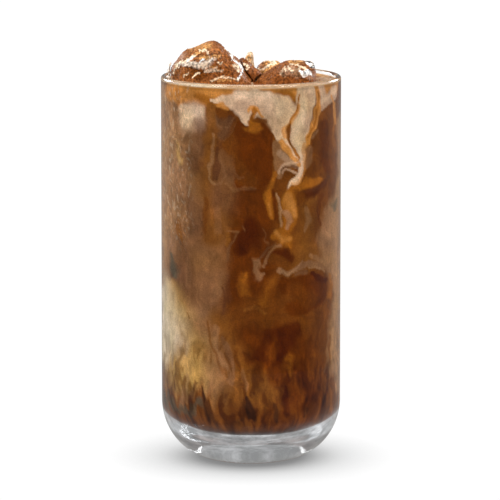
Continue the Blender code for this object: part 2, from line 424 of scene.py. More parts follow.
def dents(places, grain, seed):
    """Distance in grains from each place to the nearest of a scatter of spots, a grain apart."""
    lattice = np.random.default_rng(seed).uniform(0, 1, (16, 16, 16, 3))
    cell = places / grain
    corner = np.floor(cell).astype(int)
    nearest = np.full(len(places), np.inf)
    for side in itertools.product((-1, 0, 1), repeat=3):
        at = corner + side
        spot = at + lattice[tuple((at % 16).T)]
        nearest = np.minimum(nearest, np.linalg.norm(cell - spot, axis=1))
    return nearest


def eased(share):
    share = np.clip(share, 0, 1)
    return share * share * (3 - 2 * share)


def mesh_places(piece):
    """Vertex places of a piece in mm, and its vertex normals."""
    count = len(piece.data.vertices)
    places = np.empty(count * 3)
    normals = np.empty(count * 3)
    piece.data.vertices.foreach_get("co", places)
    piece.data.vertex_normals.foreach_get("vector", normals)
    return places.reshape(-1, 3) / MM, normals.reshape(-1, 3)


def set_places(piece, places):
    piece.data.vertices.foreach_set("co", (places * MM).ravel())
    piece.data.update()


def pick(piece):
    """Makes a piece the only one selected, and the active one."""
    deselect_all()
    piece.select_set(True)
    bpy.context.view_layer.objects.active = piece


def merged_copy(node, name):
    """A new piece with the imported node's mesh, its loose triangles joined up."""
    piece = bpy.data.objects.new(name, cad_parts[node].data.copy())
    piece.data.name = name
    piece.data.materials.clear()
    bpy.context.scene.collection.objects.link(piece)
    pick(piece)
    bpy.ops.object.mode_set(mode="EDIT")
    bpy.ops.mesh.select_all(action="SELECT")
    bpy.ops.mesh.remove_doubles(threshold=LOOSE)
    bpy.ops.object.mode_set(mode="OBJECT")
    return piece


def seen_from_front(places):
    """How far across and down each place in mm shows from the front, from the drink's edge."""
    near = -places[:, 1] / (camera_back / MM)
    plane_height = (places[:, 2] - camera_height / MM * near) / (1 - near)
    return np.column_stack([places[:, 0] / (1 - near), (SEEN_TOP - plane_height) / SEEN_TO_REAL])


def beside(spots, way, facing):
    """How many half widths each spot lies from a way of (x, y, half width), its side of it, and how
    far along it. Across counts for less where the way's facing is under 1."""
    nearest = np.full(len(spots), np.inf)
    side = np.zeros(len(spots))
    run = np.zeros(len(spots))
    run_before = 0.0
    for index in range(len(way) - 1):
        squeeze = np.array([(facing[index] + facing[index + 1]) / 2, 1.0])
        start = way[index, :2] * squeeze
        step = way[index + 1, :2] * squeeze - start
        length = np.linalg.norm(step)
        offset = spots * squeeze - start
        share = np.clip(offset @ step / length ** 2, 0, 1)
        width = way[index, 2] + share * (way[index + 1, 2] - way[index, 2])
        away = np.linalg.norm(offset - share[:, None] * step, axis=1) / width
        closer = away < nearest
        across = (offset[:, 0] * step[1] - offset[:, 1] * step[0]) / length
        side[closer] = across[closer]
        run[closer] = run_before + share[closer] * length
        nearest[closer] = away[closer]
        run_before += length
    return nearest, side, run


def patches(places, ground, swirls, tones, seed):
    """Colour and cover at each place: the ground tone, with each swirl laid over it, edges ragged."""
    seen = seen_from_front(places)
    for grain, reach in RAGGED:
        for axis in range(2):
            seen[:, axis] += reach * drift(places, grain, 300 + 10 * seed + axis)
    paint = np.tile([*linear(tones[ground][0]), tones[ground][1]], (len(places), 1))
    for tone, soft, strength, way in swirls:
        way = np.array(way, float)
        nearest = beside(seen, way, np.ones(len(way)))[0]
        cover = (eased((1 + soft / 2 - nearest) / soft) * strength)[:, None]
        colour, hides = tones[tone]
        paint = paint * (1 - cover) + np.array([*linear(colour), hides]) * cover
    for grain, depth in SPECKS:
        paint[:, :3] *= 1 + depth * drift(places, grain, 400 + seed)[:, None]
    return np.clip(paint, 0, 1)


def paint_on(piece, name, paint):
    layer = piece.data.color_attributes.new(name, "FLOAT_COLOR", "POINT")
    layer.data.foreach_set("color", paint.ravel())


def paint_of(piece, name):
    paint = np.empty(len(piece.data.vertices) * 4)
    piece.data.color_attributes[name].data.foreach_get("color", paint)
    return paint.reshape(-1, 4)


def build_fine_grain():
    """The node group for fine grain: noise on the piece's own places, plain and spread to a range."""
    group = bpy.data.node_groups.new("fine_grain", "ShaderNodeTree")
    position = add_node(group.nodes, "TexCoord")
    noise = add_node(group.nodes, "TexNoise")
    spread = add_node(group.nodes, "MapRange")
    given = group.nodes.new("NodeGroupInput")
    wires = ((noise, ("Scale", "Detail")), (spread, ("From Min", "From Max", "To Min", "To Max")))
    for node, names in wires:
        for name in names:
            group.interface.new_socket(name, in_out="INPUT", socket_type="NodeSocketFloat")
            group.links.new(given.outputs[name], node.inputs[name])
    group.links.new(position.outputs["Object"], noise.inputs["Vector"])
    group.links.new(noise.outputs["Fac"], spread.inputs["Value"])
    put_out = group.nodes.new("NodeGroupOutput")
    for name, source in (("Noise", noise.outputs["Fac"]), ("Spread", spread.outputs["Result"])):
        group.interface.new_socket(name, in_out="OUTPUT", socket_type="NodeSocketFloat")
        group.links.new(source, put_out.inputs[name])
    return group


def grained(nodes, links, colour, share):
    """A colour made lighter and darker by a share that changes over the surface."""
    scaled = add_node(nodes, "VectorMath", operation="SCALE")
    links.new(colour, scaled.inputs[0])
    links.new(share, scaled.inputs["Scale"])
    return scaled.outputs["Vector"]


fine_grain = build_fine_grain()
clear_ice, nodes, links, melt = start_material("clear_ice")
set_sockets(melt, {"Base Color": (*ICE_TINT, 1.0), "IOR": ICE_IOR, "Transmission Weight": 1.0})
cloudy = add_node(nodes, "Group", ICE_CLOUDS, node_tree=fine_grain)
links.new(cloudy.outputs["Spread"], melt.inputs["Roughness"])
# The painted cocoa, frost and wet coffee, with the painted highlights, and how much of the clear ice they
# hide
dust_and_highlights = add_node(nodes, "Attribute", attribute_name="dust_and_highlights")
grains = add_node(nodes, "Group", POWDER_GRAIN, node_tree=fine_grain)
bumps = add_node(nodes, "Bump", POWDER_RELIEF)
links.new(grains.outputs["Noise"], bumps.inputs["Height"])
dust = add_node(nodes, "BsdfPrincipled", POWDER_SHEEN)
speckled = grained(nodes, links, dust_and_highlights.outputs["Color"], grains.outputs["Spread"])
links.new(speckled, dust.inputs["Base Color"])
links.new(bumps.outputs["Normal"], dust.inputs["Normal"])
broken = add_node(nodes, "Math", operation="ADD")
links.new(dust_and_highlights.outputs["Alpha"], broken.inputs[0])
links.new(grains.outputs["Noise"], broken.inputs[1])
hides = add_node(nodes, "MapRange", POWDER_EDGE)
links.new(broken.outputs["Value"], hides.inputs["Value"])
clear_way = lets_light_by(nodes, links, melt.outputs[0])
dusted = mixed(nodes, links, hides.outputs["Result"], clear_way, dust.outputs[0])
links.new(dusted, nodes["Material Output"].inputs["Surface"])

ice = {}
for seed, lump in enumerate(ICE_LUMPS):
    node = "ice_" + lump
    piece = merged_copy(node, "ice_" + lump + "_melting")
    bpy.ops.object.modifier_add(type="REMESH")
    piece.modifiers["Remesh"].mode = "VOXEL"
    piece.modifiers["Remesh"].voxel_size = ICE_VOXEL
    bpy.ops.object.modifier_apply(modifier="Remesh")
    places, normals = mesh_places(piece)
    swell = np.full(len(places), -ICE_SHRINK)
    for grain, depth in DENTS:
        swell += depth * (np.minimum(dents(places, grain, seed), DENT_RIM) - DENT_LEVEL)
    for grain, depth in RIPPLES:
        swell += depth * drift(places, grain, 100 + seed)
    low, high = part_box(node)
    places = places + normals * swell[:, None]
    set_places(piece, np.clip(places, np.array(low) / MM, np.array(high) / MM - TOP_SPACE))
    bpy.ops.object.shade_smooth()
    places, normals = mesh_places(piece)
    paint_on(piece, "dust_and_highlights", patches(places, ICE_GROUND[lump], ICE_SWIRLS[lump], ICE_TONES, seed))
    piece.data.materials.append(clear_ice)
    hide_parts(node)
    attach(piece, "root")
    ice[lump] = piece


# Latte
# The drink: espresso over milk, not yet stirred. It reaches just into the glass all round, creeps up
# the wall at its edge, and is cut round the ice. Its swirls are painted where the milk has sunk.
DRINK_REACH = 0.00015
DRINK_LEVEL = RIM_HEIGHT - 0.0026
CREEP_HEIGHT = 0.0011
CREEP_WIDTH = 0.0016
FRONT_STEPS = 264
BACK_STEPS = 76
WALL_ROWS = 232
SIDE_SEEN = 93.4 / 90

COLOURS = {
    "cream": (222, 192, 158),
    "milk": (206, 171, 137),
    "milk_shade": (176, 140, 110),
    "caramel": (192, 126, 58),
    "amber": (146, 84, 20),
    "toffee": (122, 72, 24),
    "coffee": (103, 54, 11),
    "roast": (88, 38, 1),
    "espresso": (68, 22, 0),
    "ink": (48, 20, 6),
    "mauve": (108, 70, 42),
    "dusk": (84, 46, 24),
    "fawn": (132, 90, 56),
    "tan": (154, 112, 74),
    "gold": (174, 134, 76),
    "straw": (204, 184, 154),
    "slate": (78, 68, 50),
    "rim_milk": (214, 182, 142),
}


def on_wall(across, down):
    """Arc and height in mm on the wall, of a spot seen so far across and down the front. The glass
    bends the view, so its side shows the drink a little past a quarter turn."""
    outer = OUTER_RADIUS / MM
    across = np.clip(np.asarray(across, float), -outer, outer)
    plane_height = SEEN_TOP - SEEN_TO_REAL * np.asarray(down, float)
    near = np.sqrt(outer * outer - across * across) / (camera_back / MM)
    height = camera_height / MM * near + plane_height * (1 - near)
    return inner_radius / MM * np.arcsin(across / outer) * SIDE_SEEN, height


def plume(paint, wall, colour, way, soft, strength, seed):
    """Lays a colour over the paint along a way of (across, down, half width) spots in mm. Its edge is
    soft over that share of the width, and faint streaks run along it."""
    way = np.array(way, float)
    arcs, heights = on_wall(way[:, 0], way[:, 1])
    facing = np.maximum(np.cos(arcs * MM / inner_radius), LEAST_FACING)
    nearest, side, run = beside(wall, np.column_stack([arcs, heights, way[:, 2]]), facing)
    soft = max(soft, SOFTEST / way[:, 2].mean())
    cover = eased((1 + soft / 2 - nearest) / soft) * strength
    there = cover > 0
    apart = np.full(there.sum(), 1.7 * seed)
    flow = np.column_stack([side[there] / STREAK_WIDTH, run[there] / STREAK_LENGTH, apart])
    streaks = 1 + STREAKS * (drift(flow, 1.0, 95) + 0.6 * drift(flow * (2.3, 2.0, 1.0), 1.0, 96))
    cover = cover[there, None]
    paint[there] = paint[there] * (1 - cover) + linear(COLOURS[colour]) * streaks[:, None] * cover


# Each swirl: colour, softness of its edge, strength, and (across, down, half width) spots in mm as
# seen from the front, down from the drink's edge
GROUNDS = (
    ("mauve", 1.0, 0.9, ((-27, 16, 9), (-26, 40, 9), (-25, 66, 10), (-24, 84, 9))),
    ("fawn", 1.6, 0.5, ((-24, 34, 2.4), (-21, 44, 3), (-24, 56, 3), (-21, 70, 2.4))),
    ("fawn", 1.8, 0.45, ((-12, 52, 2.4), (-10, 66, 2.8), (-12, 80, 2.4))),
    ("toffee", 1.2, 0.8, ((-16, 30, 4), (-15, 46, 5), (-14, 58, 5))),
    ("mauve", 1.0, 0.7, ((-11, 32, 5), (-10, 44, 6))),
    ("fawn", 1.2, 0.55, ((-16, 66, 4), (-17, 76, 5), (-18, 88, 6))),
    ("roast", 0.9, 0.85, (
        (1, 44, 7), (0, 60, 8), (0, 80, 9), (6, 96, 12), (14, 112, 14), (18, 130, 14),
    )),
    ("coffee", 1.0, 0.8, ((-6, 92, 5), (2, 90, 6), (14, 90, 6), (22, 92, 6))),
    ("toffee", 1.0, 0.8, ((24, 48, 4), (24, 60, 5), (22, 70, 5))),
    ("coffee", 1.0, 0.7, ((26, 48, 2), (27, 60, 2), (26, 68, 2))),
    ("toffee", 1.2, 0.8, ((-13, 94, 5), (-10, 108, 7), (-4, 122, 8), (6, 124, 6))),
    ("tan", 1.4, 0.5, ((-22, 92, 5), (-20, 104, 8), (-17, 118, 7))),
    ("gold", 1.2, 0.95, ((-34, 80, 3.6), (-32.4, 90, 5), (-30, 101, 7), (-29, 114, 8))),
    ("straw", 1.2, 1.0, ((-36, 74, 3.6), (-36, 88, 6.2), (-35.6, 99, 5.6), (-36, 109, 3.2))),
    ("tan", 1.2, 0.95, ((-36, 2, 6.5), (-35.6, 24, 6.5), (-36, 46, 7), (-36, 66, 5), (-36, 76, 3))),
    ("tan", 0.35, 0.9, (
        (36, 12, 3.4), (36, 22, 3), (36, 32, 3), (36, 40, 4), (36, 48, 6), (36, 58, 7.4),
        (36, 66, 7), (36, 74, 5), (36, 82, 4), (36, 92, 4.8), (36, 102, 5.4), (36, 112, 5), (36, 120, 3),
    )),
    ("fawn", 0.6, 0.5, ((30.6, 50, 1.0), (29.6, 60, 1.1), (30.6, 70, 0.9), (32.4, 78, 0.6))),
)
RIM_SWIRLS = (
    ("caramel", 0.6, 0.95, (
        (-31, 2, 4), (-24, 2.4, 4), (-12, 2, 4), (4, 1, 3), (20, 0, 3), (33, -1, 3),
    )),
    ("amber", 0.9, 0.8, ((-21, 3.4, 1.6), (-17, 4.6, 1.6))),
    ("amber", 0.9, 0.6, ((-28.6, 1, 0.8), (-28.4, 8, 0.8))),
    ("amber", 0.9, 0.8, ((12, 2, 1.6), (15, 2.4, 1.6), (17, 2.6, 0.8))),
    # The big lump's face
    ("roast", 0.12, 0.95, ((1.0, 21, 7.6), (0.6, 27, 8.1), (0.2, 33, 7.8), (-1, 36, 6))),
    ("coffee", 0.8, 0.7, ((-8, 22, 3), (-9, 28, 3), (-6, 34, 3.4), (0, 38, 3))),
    ("fawn", 0.9, 0.35, ((-11.4, 26, 1.6), (-11, 32, 1.8), (-8.6, 37, 1.8))),
    ("dusk", 0.6, 0.7, ((-14.4, 24, 0.7), (-14, 30, 1.0), (-14.6, 36, 0.9))),
    ("dusk", 0.5, 0.5, ((-17, 13.6, 1.2), (-12, 11.8, 1.2), (-8, 11.8, 1.2), (-5, 13.6, 0.8))),
    ("mauve", 0.9, 0.8, ((-13.4, 13.4, 2.4), (-9, 13.6, 2.4), (-12, 18, 2.4))),
    ("amber", 1.8, 0.7, ((-1, 16.4, 0.8), (2, 17, 1.4), (4, 16.6, 0.8))),
    # Milk on the left
    ("fawn", 1.6, 0.8, ((-26, 15, 3.6), (-24, 19, 3.6), (-24, 23, 2.6))),
    ("milk_shade", 1.4, 0.9, ((-26.6, 9, 2), (-22.6, 11, 4.4), (-25, 14.4, 3.2))),
    ("milk", 0.9, 0.9, ((-26.4, 8.8, 1.8), (-22.4, 9.4, 3.2), (-24.6, 11.6, 2.8), (-26, 14.4, 1.6))),
    ("cream", 1.8, 0.7, ((-22.4, 9.6, 1.8), (-25, 12, 1.6))),
    ("toffee", 1.2, 0.9, ((-16.4, 6, 1.4), (-17, 12, 1.6), (-16.6, 20, 1.9), (-16.6, 28, 1.4))),
    # The band of milk under the rim
    ("milk", 0.3, 1.0, (
        (-16.4, 4.4, 0.6), (-10.6, 4.4, 2), (-6, 5.4, 3.4), (0, 6.6, 5.0), (5, 6.6, 5),
        (10.4, 8.4, 6.2), (12.4, 12, 5.2), (12.2, 16, 3.6), (13.4, 20, 2.6), (16.4, 24.6, 1.9),
        (19.4, 28.6, 1.5),
    )),
    ("milk", 0.5, 1.0, ((-3, 8.6, 3), (-1.4, 11.4, 2.2), (-0.2, 14, 0.9))),
    ("caramel", 0.8, 0.9, ((-13.6, 6.4, 0.8), (-11, 6, 1.3), (-9.4, 7.6, 0.8))),
    ("milk_shade", 1.1, 0.55, ((-5, 7.6, 2), (0, 9, 2), (4, 10, 2), (9, 13, 2.4), (11, 17, 1.8))),
    ("cream", 1.1, 0.5, ((-6, 3.8, 1), (0, 3.2, 1.4), (7, 3, 1.4), (10.6, 6, 1.8), (11.6, 9, 1.8))),
    # The second stream, to the right of the crack
    ("milk", 0.25, 1.0, ((21, -1, 3.6), (20.8, 6, 4), (19.6, 12, 4.6), (19, 18, 4), (18.8, 22, 3.6))),
    ("milk", 0.35, 1.0, (
        (19.2, 22, 3.4), (20, 27, 2.2), (20.4, 31, 1.7), (19.6, 34.4, 1.4), (16.6, 37.2, 1.1),
        (14.6, 39.2, 0.7), (13.6, 41, 0.4),
    )),
    ("caramel", 0.7, 0.6, (
        (22.2, 22, 1), (21.4, 25, 1), (22.4, 33, 0.6), (20.4, 35.6, 0.6), (16, 38.6, 0.6),
    )),
    ("cream", 1.1, 0.45, ((20.4, 4, 1.4), (19.6, 12, 1.8), (18, 18, 1.4), (19.6, 27, 0.9))),
    ("milk_shade", 1.0, 0.5, ((22.6, 2, 0.9), (22.8, 10, 1), (21.6, 17, 1.1))),
    ("fawn", 0.7, 0.7, ((23.6, 24, 1.2), (24, 28, 1.3), (23.2, 32, 0.9))),
    # Between the streams: greyed milk with folds
    ("fawn", 0.35, 0.95, ((10.6, 23, 1.9), (12.6, 26.6, 3.2), (13, 30, 3.4), (11, 34, 1.6))),
    ("milk_shade", 0.8, 0.6, ((12, 25.6, 1.1), (15, 28, 1.4), (17.6, 30, 1.2))),
    ("caramel", 0.5, 0.9, ((12.4, 21.4, 0.8), (15, 24.6, 0.9), (18, 28, 0.8), (19.6, 30.4, 0.8))),
    ("milk_shade", 0.5, 0.9, (
        (11, 33.4, 0.4), (12.6, 30.8, 0.4), (15.4, 28.8, 0.5), (18.6, 28.6, 0.5),
    )),
    ("dusk", 0.6, 0.75, (
        (12.2, 32.4, 0.4), (14, 30.8, 0.4), (17, 30.4, 0.4), (18.6, 31, 0.6), (17.6, 32, 0.4),
    )),
    ("milk_shade", 0.5, 0.85, (
        (12.4, 33.2, 0.3), (14.2, 31.8, 0.35), (16.2, 32.6, 0.5), (17.6, 34.6, 0.5),
    )),
    ("coffee", 0.35, 0.95, ((14, 34, 1.1), (13.4, 36.4, 1.7), (12.2, 40, 1.9), (11, 44, 1.4))),
    # The curl, the crack and the lines of caramel
    ("caramel", 0.7, 0.9, (
        (-0.6, 9.4, 0.5), (0.4, 8.6, 0.6), (2, 8.8, 0.7), (3, 10, 0.5), (4.4, 11.6, 0.5),
    )),
    ("amber", 0.4, 0.95, (
        (1.4, 9.2, 0.6), (2.2, 10.2, 0.6), (1.4, 11.6, 0.9), (1.6, 13.4, 1.5), (2, 15.6, 2),
    )),
    ("coffee", 0.6, 0.8, ((1.4, 10.4, 0.4), (1.2, 12, 0.5), (3.4, 13, 0.8), (5.6, 13.2, 0.9))),
    ("caramel", 0.8, 0.8, ((17.8, 6, 0.8), (16.4, 12, 0.9), (14, 16.6, 1.1), (13.8, 19.6, 0.8))),
    ("amber", 0.5, 0.95, (
        (18.2, 1.6, 0.4), (17.2, 6, 0.4), (16.6, 9, 0.5), (15.6, 12, 0.5), (15.1, 15, 0.6),
        (15.4, 17.4, 0.6), (14.8, 20, 0.6), (16, 22.6, 0.5), (18, 25, 0.5), (19.2, 27.6, 0.4),
    )),
    ("espresso", 1.2, 0.6, (
        (15.3, 14.4, 0.4), (15.4, 17.4, 0.45), (14.9, 20, 0.45), (16.2, 22.8, 0.4),
    )),
    ("milk", 0.6, 0.85, ((27.4, 0, 1.8), (28, 4, 2.2), (30.4, 3, 2), (33, 0, 1.6))),
    ("milk_shade", 0.6, 0.9, ((27.6, 7.4, 0.7), (29.4, 6, 0.9), (31.6, 3.8, 1), (33.4, 2, 1))),
    ("caramel", 0.6, 0.95, (
        (25.4, -1, 0.9), (26.6, 4, 1.1), (26, 9, 1.1), (25.4, 14, 1.2), (23.8, 18, 1),
        (23.2, 22, 0.6),
    )),
    ("amber", 0.6, 0.8, (
        (26.2, 1, 0.3), (26.8, 3.6, 0.35), (25.8, 8, 0.3), (25.2, 14, 0.3), (23.6, 19, 0.35),
    )),
    ("coffee", 0.18, 1.0, (
        (29.2, 10.4, 2.4), (29.2, 16, 2.5), (28.6, 22, 2.6), (28.8, 30, 3), (29.6, 36, 2.2),
    )),
    ("roast", 0.8, 0.8, ((29.4, 13, 1.6), (29.4, 22, 1.8), (30, 30, 1.6), (31, 34, 1))),
    ("fawn", 0.5, 0.9, ((25, 20, 0.5), (26.2, 17.4, 0.5), (26.8, 16.4, 0.3))),
    ("caramel", 0.6, 0.8, ((32, 2.2, 0.35), (33.2, 4.4, 0.4), (33.4, 8, 0.4), (33.6, 14, 0.3))),
    ("amber", 0.9, 0.45, ((33.4, 12, 0.5), (33, 20, 0.5), (34, 26, 0.5))),
)
MIDDLE_SWIRLS = (
    # Left: drips of gold, ghosts of an ice edge, soft columns
    ("gold", 1.6, 0.7, ((-29.8, 20, 0.4), (-29.2, 25, 0.9), (-28, 29.6, 1.0), (-26.6, 28, 0.4))),
    ("tan", 0.8, 0.35, ((-30.4, 14, 0.6), (-30.2, 20, 0.6), (-29.6, 24, 0.5))),
    ("fawn", 0.8, 0.5, ((-26.6, 22, 0.5), (-24, 21.4, 0.6), (-21, 21.8, 0.6), (-20, 24, 0.4))),
    ("dusk", 0.8, 0.4, ((-23, 25, 2.4), (-22.4, 31, 2.2), (-19.6, 30, 1.2))),
    ("tan", 0.8, 0.5, (
        (-15.6, 18, 0.4), (-16, 26, 0.6), (-15.8, 31, 0.6), (-17, 35, 0.4), (-15, 38.4, 0.5),
    )),
    ("fawn", 0.8, 0.5, ((-15, 38.6, 0.5), (-12, 38.8, 0.5), (-10.8, 36, 0.4))),
    ("fawn", 0.7, 0.55, (
        (-15, 13.4, 0.25), (-12.6, 15, 0.25), (-9.6, 15.2, 0.25), (-6.8, 13.4, 0.25),
        (-5, 12.2, 0.25),
    )),
    ("dusk", 0.8, 0.5, ((-7, 16, 0.2), (-10.4, 19.6, 0.25), (-12.8, 23, 0.3))),
    ("fawn", 0.8, 0.4, ((-4.4, 15.4, 0.2), (-7.6, 18, 0.2), (-10.6, 20.8, 0.2))),
    ("fawn", 0.9, 0.3, ((-8, 34, 0.5), (-5.4, 36.4, 0.5), (-2.4, 36.4, 0.4))),
    ("fawn", 0.9, 0.35, ((-10, 39, 0.5), (-7, 41, 0.6), (-3, 41, 0.6), (2, 40.6, 0.5))),
    ("coffee", 0.9, 0.8, ((-18.4, 44, 1), (-18.2, 50, 1.4), (-17.6, 57, 1))),
    ("mauve", 1.0, 0.6, ((-23, 46, 3), (-22, 58, 3))),
    ("fawn", 0.9, 0.35, ((-13, 48, 1), (-12.6, 58, 1))),
    # Right of the face: amber tongues and pale veins
    ("amber", 1.2, 0.85, ((9.6, 33.6, 0.9), (7.8, 38, 1.2), (6.4, 42, 1.2), (5.6, 46, 0.8))),
    ("roast", 0.9, 0.8, ((8.8, 41, 1.2), (9.6, 47, 1), (9.8, 53, 1))),
    ("amber", 1.2, 0.95, ((6.6, 43, 1.1), (7, 48, 1.6), (7.6, 52.4, 1.2))),
    ("caramel", 1.2, 0.25, ((7, 47, 0.6), (7.4, 51, 0.7))),
    ("amber", 0.6, 0.95, ((27, 37.6, 1.4), (23, 38, 2.2), (18, 39.8, 1.6), (15, 41.6, 1.4))),
    ("espresso", 1.6, 0.8, ((29.4, 38.6, 1.0), (26, 42, 1.6), (23.4, 42, 1.8))),
    ("dusk", 1.4, 0.5, ((31, 36, 0.6), (28, 40.4, 0.6), (22, 41.6, 0.6), (20, 40.8, 0.4))),
    ("amber", 0.8, 0.9, ((15, 43, 2.2), (15.6, 50, 2.8), (14.6, 56, 2.4))),
    ("caramel", 1.8, 0.8, ((14.2, 43, 1), (15.6, 47.6, 1.5), (16.6, 51, 1))),
    ("milk_shade", 1.0, 0.35, ((13.6, 50, 0.9), (15, 53.6, 1.1), (14.4, 57, 0.7))),
    ("coffee", 0.9, 0.7, ((17, 41.6, 1.3), (20, 44.6, 1))),
    ("tan", 0.6, 0.75, (
        (10.4, 42, 0.4), (11.6, 45.6, 0.45), (12.4, 49, 0.5), (11.4, 53, 0.5), (12, 57, 0.4),
    )),
    ("milk_shade", 0.6, 0.5, ((11, 42, 0.2), (12.2, 46, 0.25), (12.8, 49, 0.2))),
    ("tan", 1.0, 0.4, ((22.4, 48, 0.8), (22.6, 54, 1), (21.6, 58, 0.6))),
    ("roast", 0.9, 0.7, ((28.4, 44, 1), (27.4, 50, 0.7), (28, 56, 0.5))),
    # Dark heart and its threads
    ("espresso", 1.0, 0.85, ((-1, 56, 3), (-1, 62, 4), (-2.6, 66, 2.6))),
    ("fawn", 0.8, 0.5, ((-9.6, 57.6, 0.35), (-7.6, 57, 0.4), (-5.6, 58, 0.35))),
    ("toffee", 0.7, 0.8, ((-9.4, 58.6, 1), (-8.4, 61.6, 1), (-9, 64, 0.8))),
    ("mauve", 0.7, 0.7, ((-5.8, 58.4, 0.4), (-5.8, 61, 0.5), (-7.6, 64.6, 0.6), (-9.4, 69, 0.5))),
    ("fawn", 0.8, 0.4, ((-4, 55.6, 0.25), (-2.4, 58, 0.25))),
    ("fawn", 0.8, 0.35, ((3, 56.6, 0.25), (4.6, 58.6, 0.25), (5, 61, 0.25), (6.6, 62.6, 0.3))),
    ("amber", 1.3, 0.95, ((7.6, 60, 1), (12, 59.6, 2), (15, 61, 1.8), (15.6, 64, 1))),
    ("caramel", 1.8, 0.5, ((9.6, 58.6, 0.6), (12.6, 61.4, 0.8), (15.6, 61, 1))),
    ("espresso", 0.8, 0.85, ((10.6, 66.4, 1.8), (13.4, 66.4, 2.4), (15, 68, 1.8))),
    ("coffee", 0.7, 0.85, ((8.6, 68.6, 2.2), (13, 70.4, 2.4))),
    ("fawn", 0.6, 0.8, (
        (12.4, 62.8, 0.4), (9.6, 63.6, 0.5), (7.4, 66, 0.5), (5.4, 69, 0.5), (4, 71.6, 0.5),
    )),
    ("mauve", 0.6, 0.7, ((10, 62.6, 0.4), (7, 64.2, 0.4), (4.6, 67, 0.4), (2, 70.6, 0.4))),
    ("fawn", 0.9, 0.9, ((2.6, 70, 0.8), (1.8, 74, 1), (3, 76.6, 1.5), (4.8, 74.6, 0.6))),
    ("roast", 0.7, 0.7, ((5.6, 71, 1), (6.4, 74, 0.8))),
    ("toffee", 0.8, 0.85, ((21, 66, 2.6), (25, 66, 2.8), (20.6, 70, 2))),
    # The ragged pale line, and the dark lump under it
    ("roast", 0.35, 0.95, (
        (14, 79.6, 3), (20, 80.4, 4.4), (26, 80, 4.6), (27.6, 85, 3.4), (19, 88, 4),
    )),
    ("coffee", 0.9, 0.5, ((18, 82, 3), (24, 86, 3))),
    ("espresso", 0.6, 0.9, ((24.6, 75.6, 0.8), (27, 77, 1.3), (29.8, 77.6, 1.1))),
    ("amber", 1.6, 0.7, ((31.6, 74.6, 0.4), (32.2, 79, 0.5), (31.8, 86, 0.6))),
    ("fawn", 0.5, 0.95, (
        (11, 74.4, 1.2), (13.4, 75, 1.0), (15.4, 73.6, 1), (18, 72.2, 1.1), (21.4, 72.4, 1.2),
        (24, 71.4, 1.2), (28, 71.8, 1.3),
    )),
    ("tan", 0.6, 0.7, ((11.6, 75.4, 0.4), (14, 74.6, 0.4), (17.4, 72.4, 0.4), (20.4, 70.4, 0.4))),
    ("tan", 0.7, 0.6, ((23, 73.4, 0.4), (26, 72.6, 0.5), (29, 73.4, 0.5))),
    ("mauve", 0.7, 0.7, ((19, 74.6, 0.9), (22, 75, 0.8))),
    ("tan", 1.0, 0.45, ((24, 68.6, 1), (28, 69.4, 1))),
    # Left and lower left
    ("toffee", 0.8, 0.9, ((-28.8, 52.6, 0.3), (-28.8, 56, 0.8), (-28.4, 59.4, 0.8), (-27.4, 62, 0.3))),
    ("dusk", 0.6, 0.6, ((-29.4, 60, 0.2), (-28.2, 62.4, 0.25), (-27, 63.6, 0.2))),
    ("fawn", 0.9, 0.45, ((-24.6, 66, 0.8), (-24.4, 74, 1), (-25, 80, 1))),
    ("slate", 1.8, 0.9, ((-31.4, 66, 0.5), (-30.8, 71, 1.1), (-30.2, 74.4, 1.6), (-29.6, 76.4, 1.1))),
    ("slate", 1.8, 0.8, ((34, 44.6, 0.5), (33.4, 48, 1), (33.6, 50, 0.4))),
    ("dusk", 0.8, 0.5, ((-9.6, 75, 1.2), (-8.6, 84, 1.6))),
    ("fawn", 0.8, 0.5, ((-12, 77, 0.6), (-13.6, 80, 0.9), (-14, 86, 1.4))),
    ("dusk", 1.4, 0.6, ((-12, 79, 0.35), (-10.8, 82, 0.5), (-10.4, 86, 0.5), (-11.6, 90, 0.5))),
    ("amber", 2.0, 0.6, ((-2.4, 76, 1.2), (-1.6, 83, 1.4))),
    ("amber", 2.0, 0.4, ((8, 78, 1.6), (6, 86, 1.8))),
)
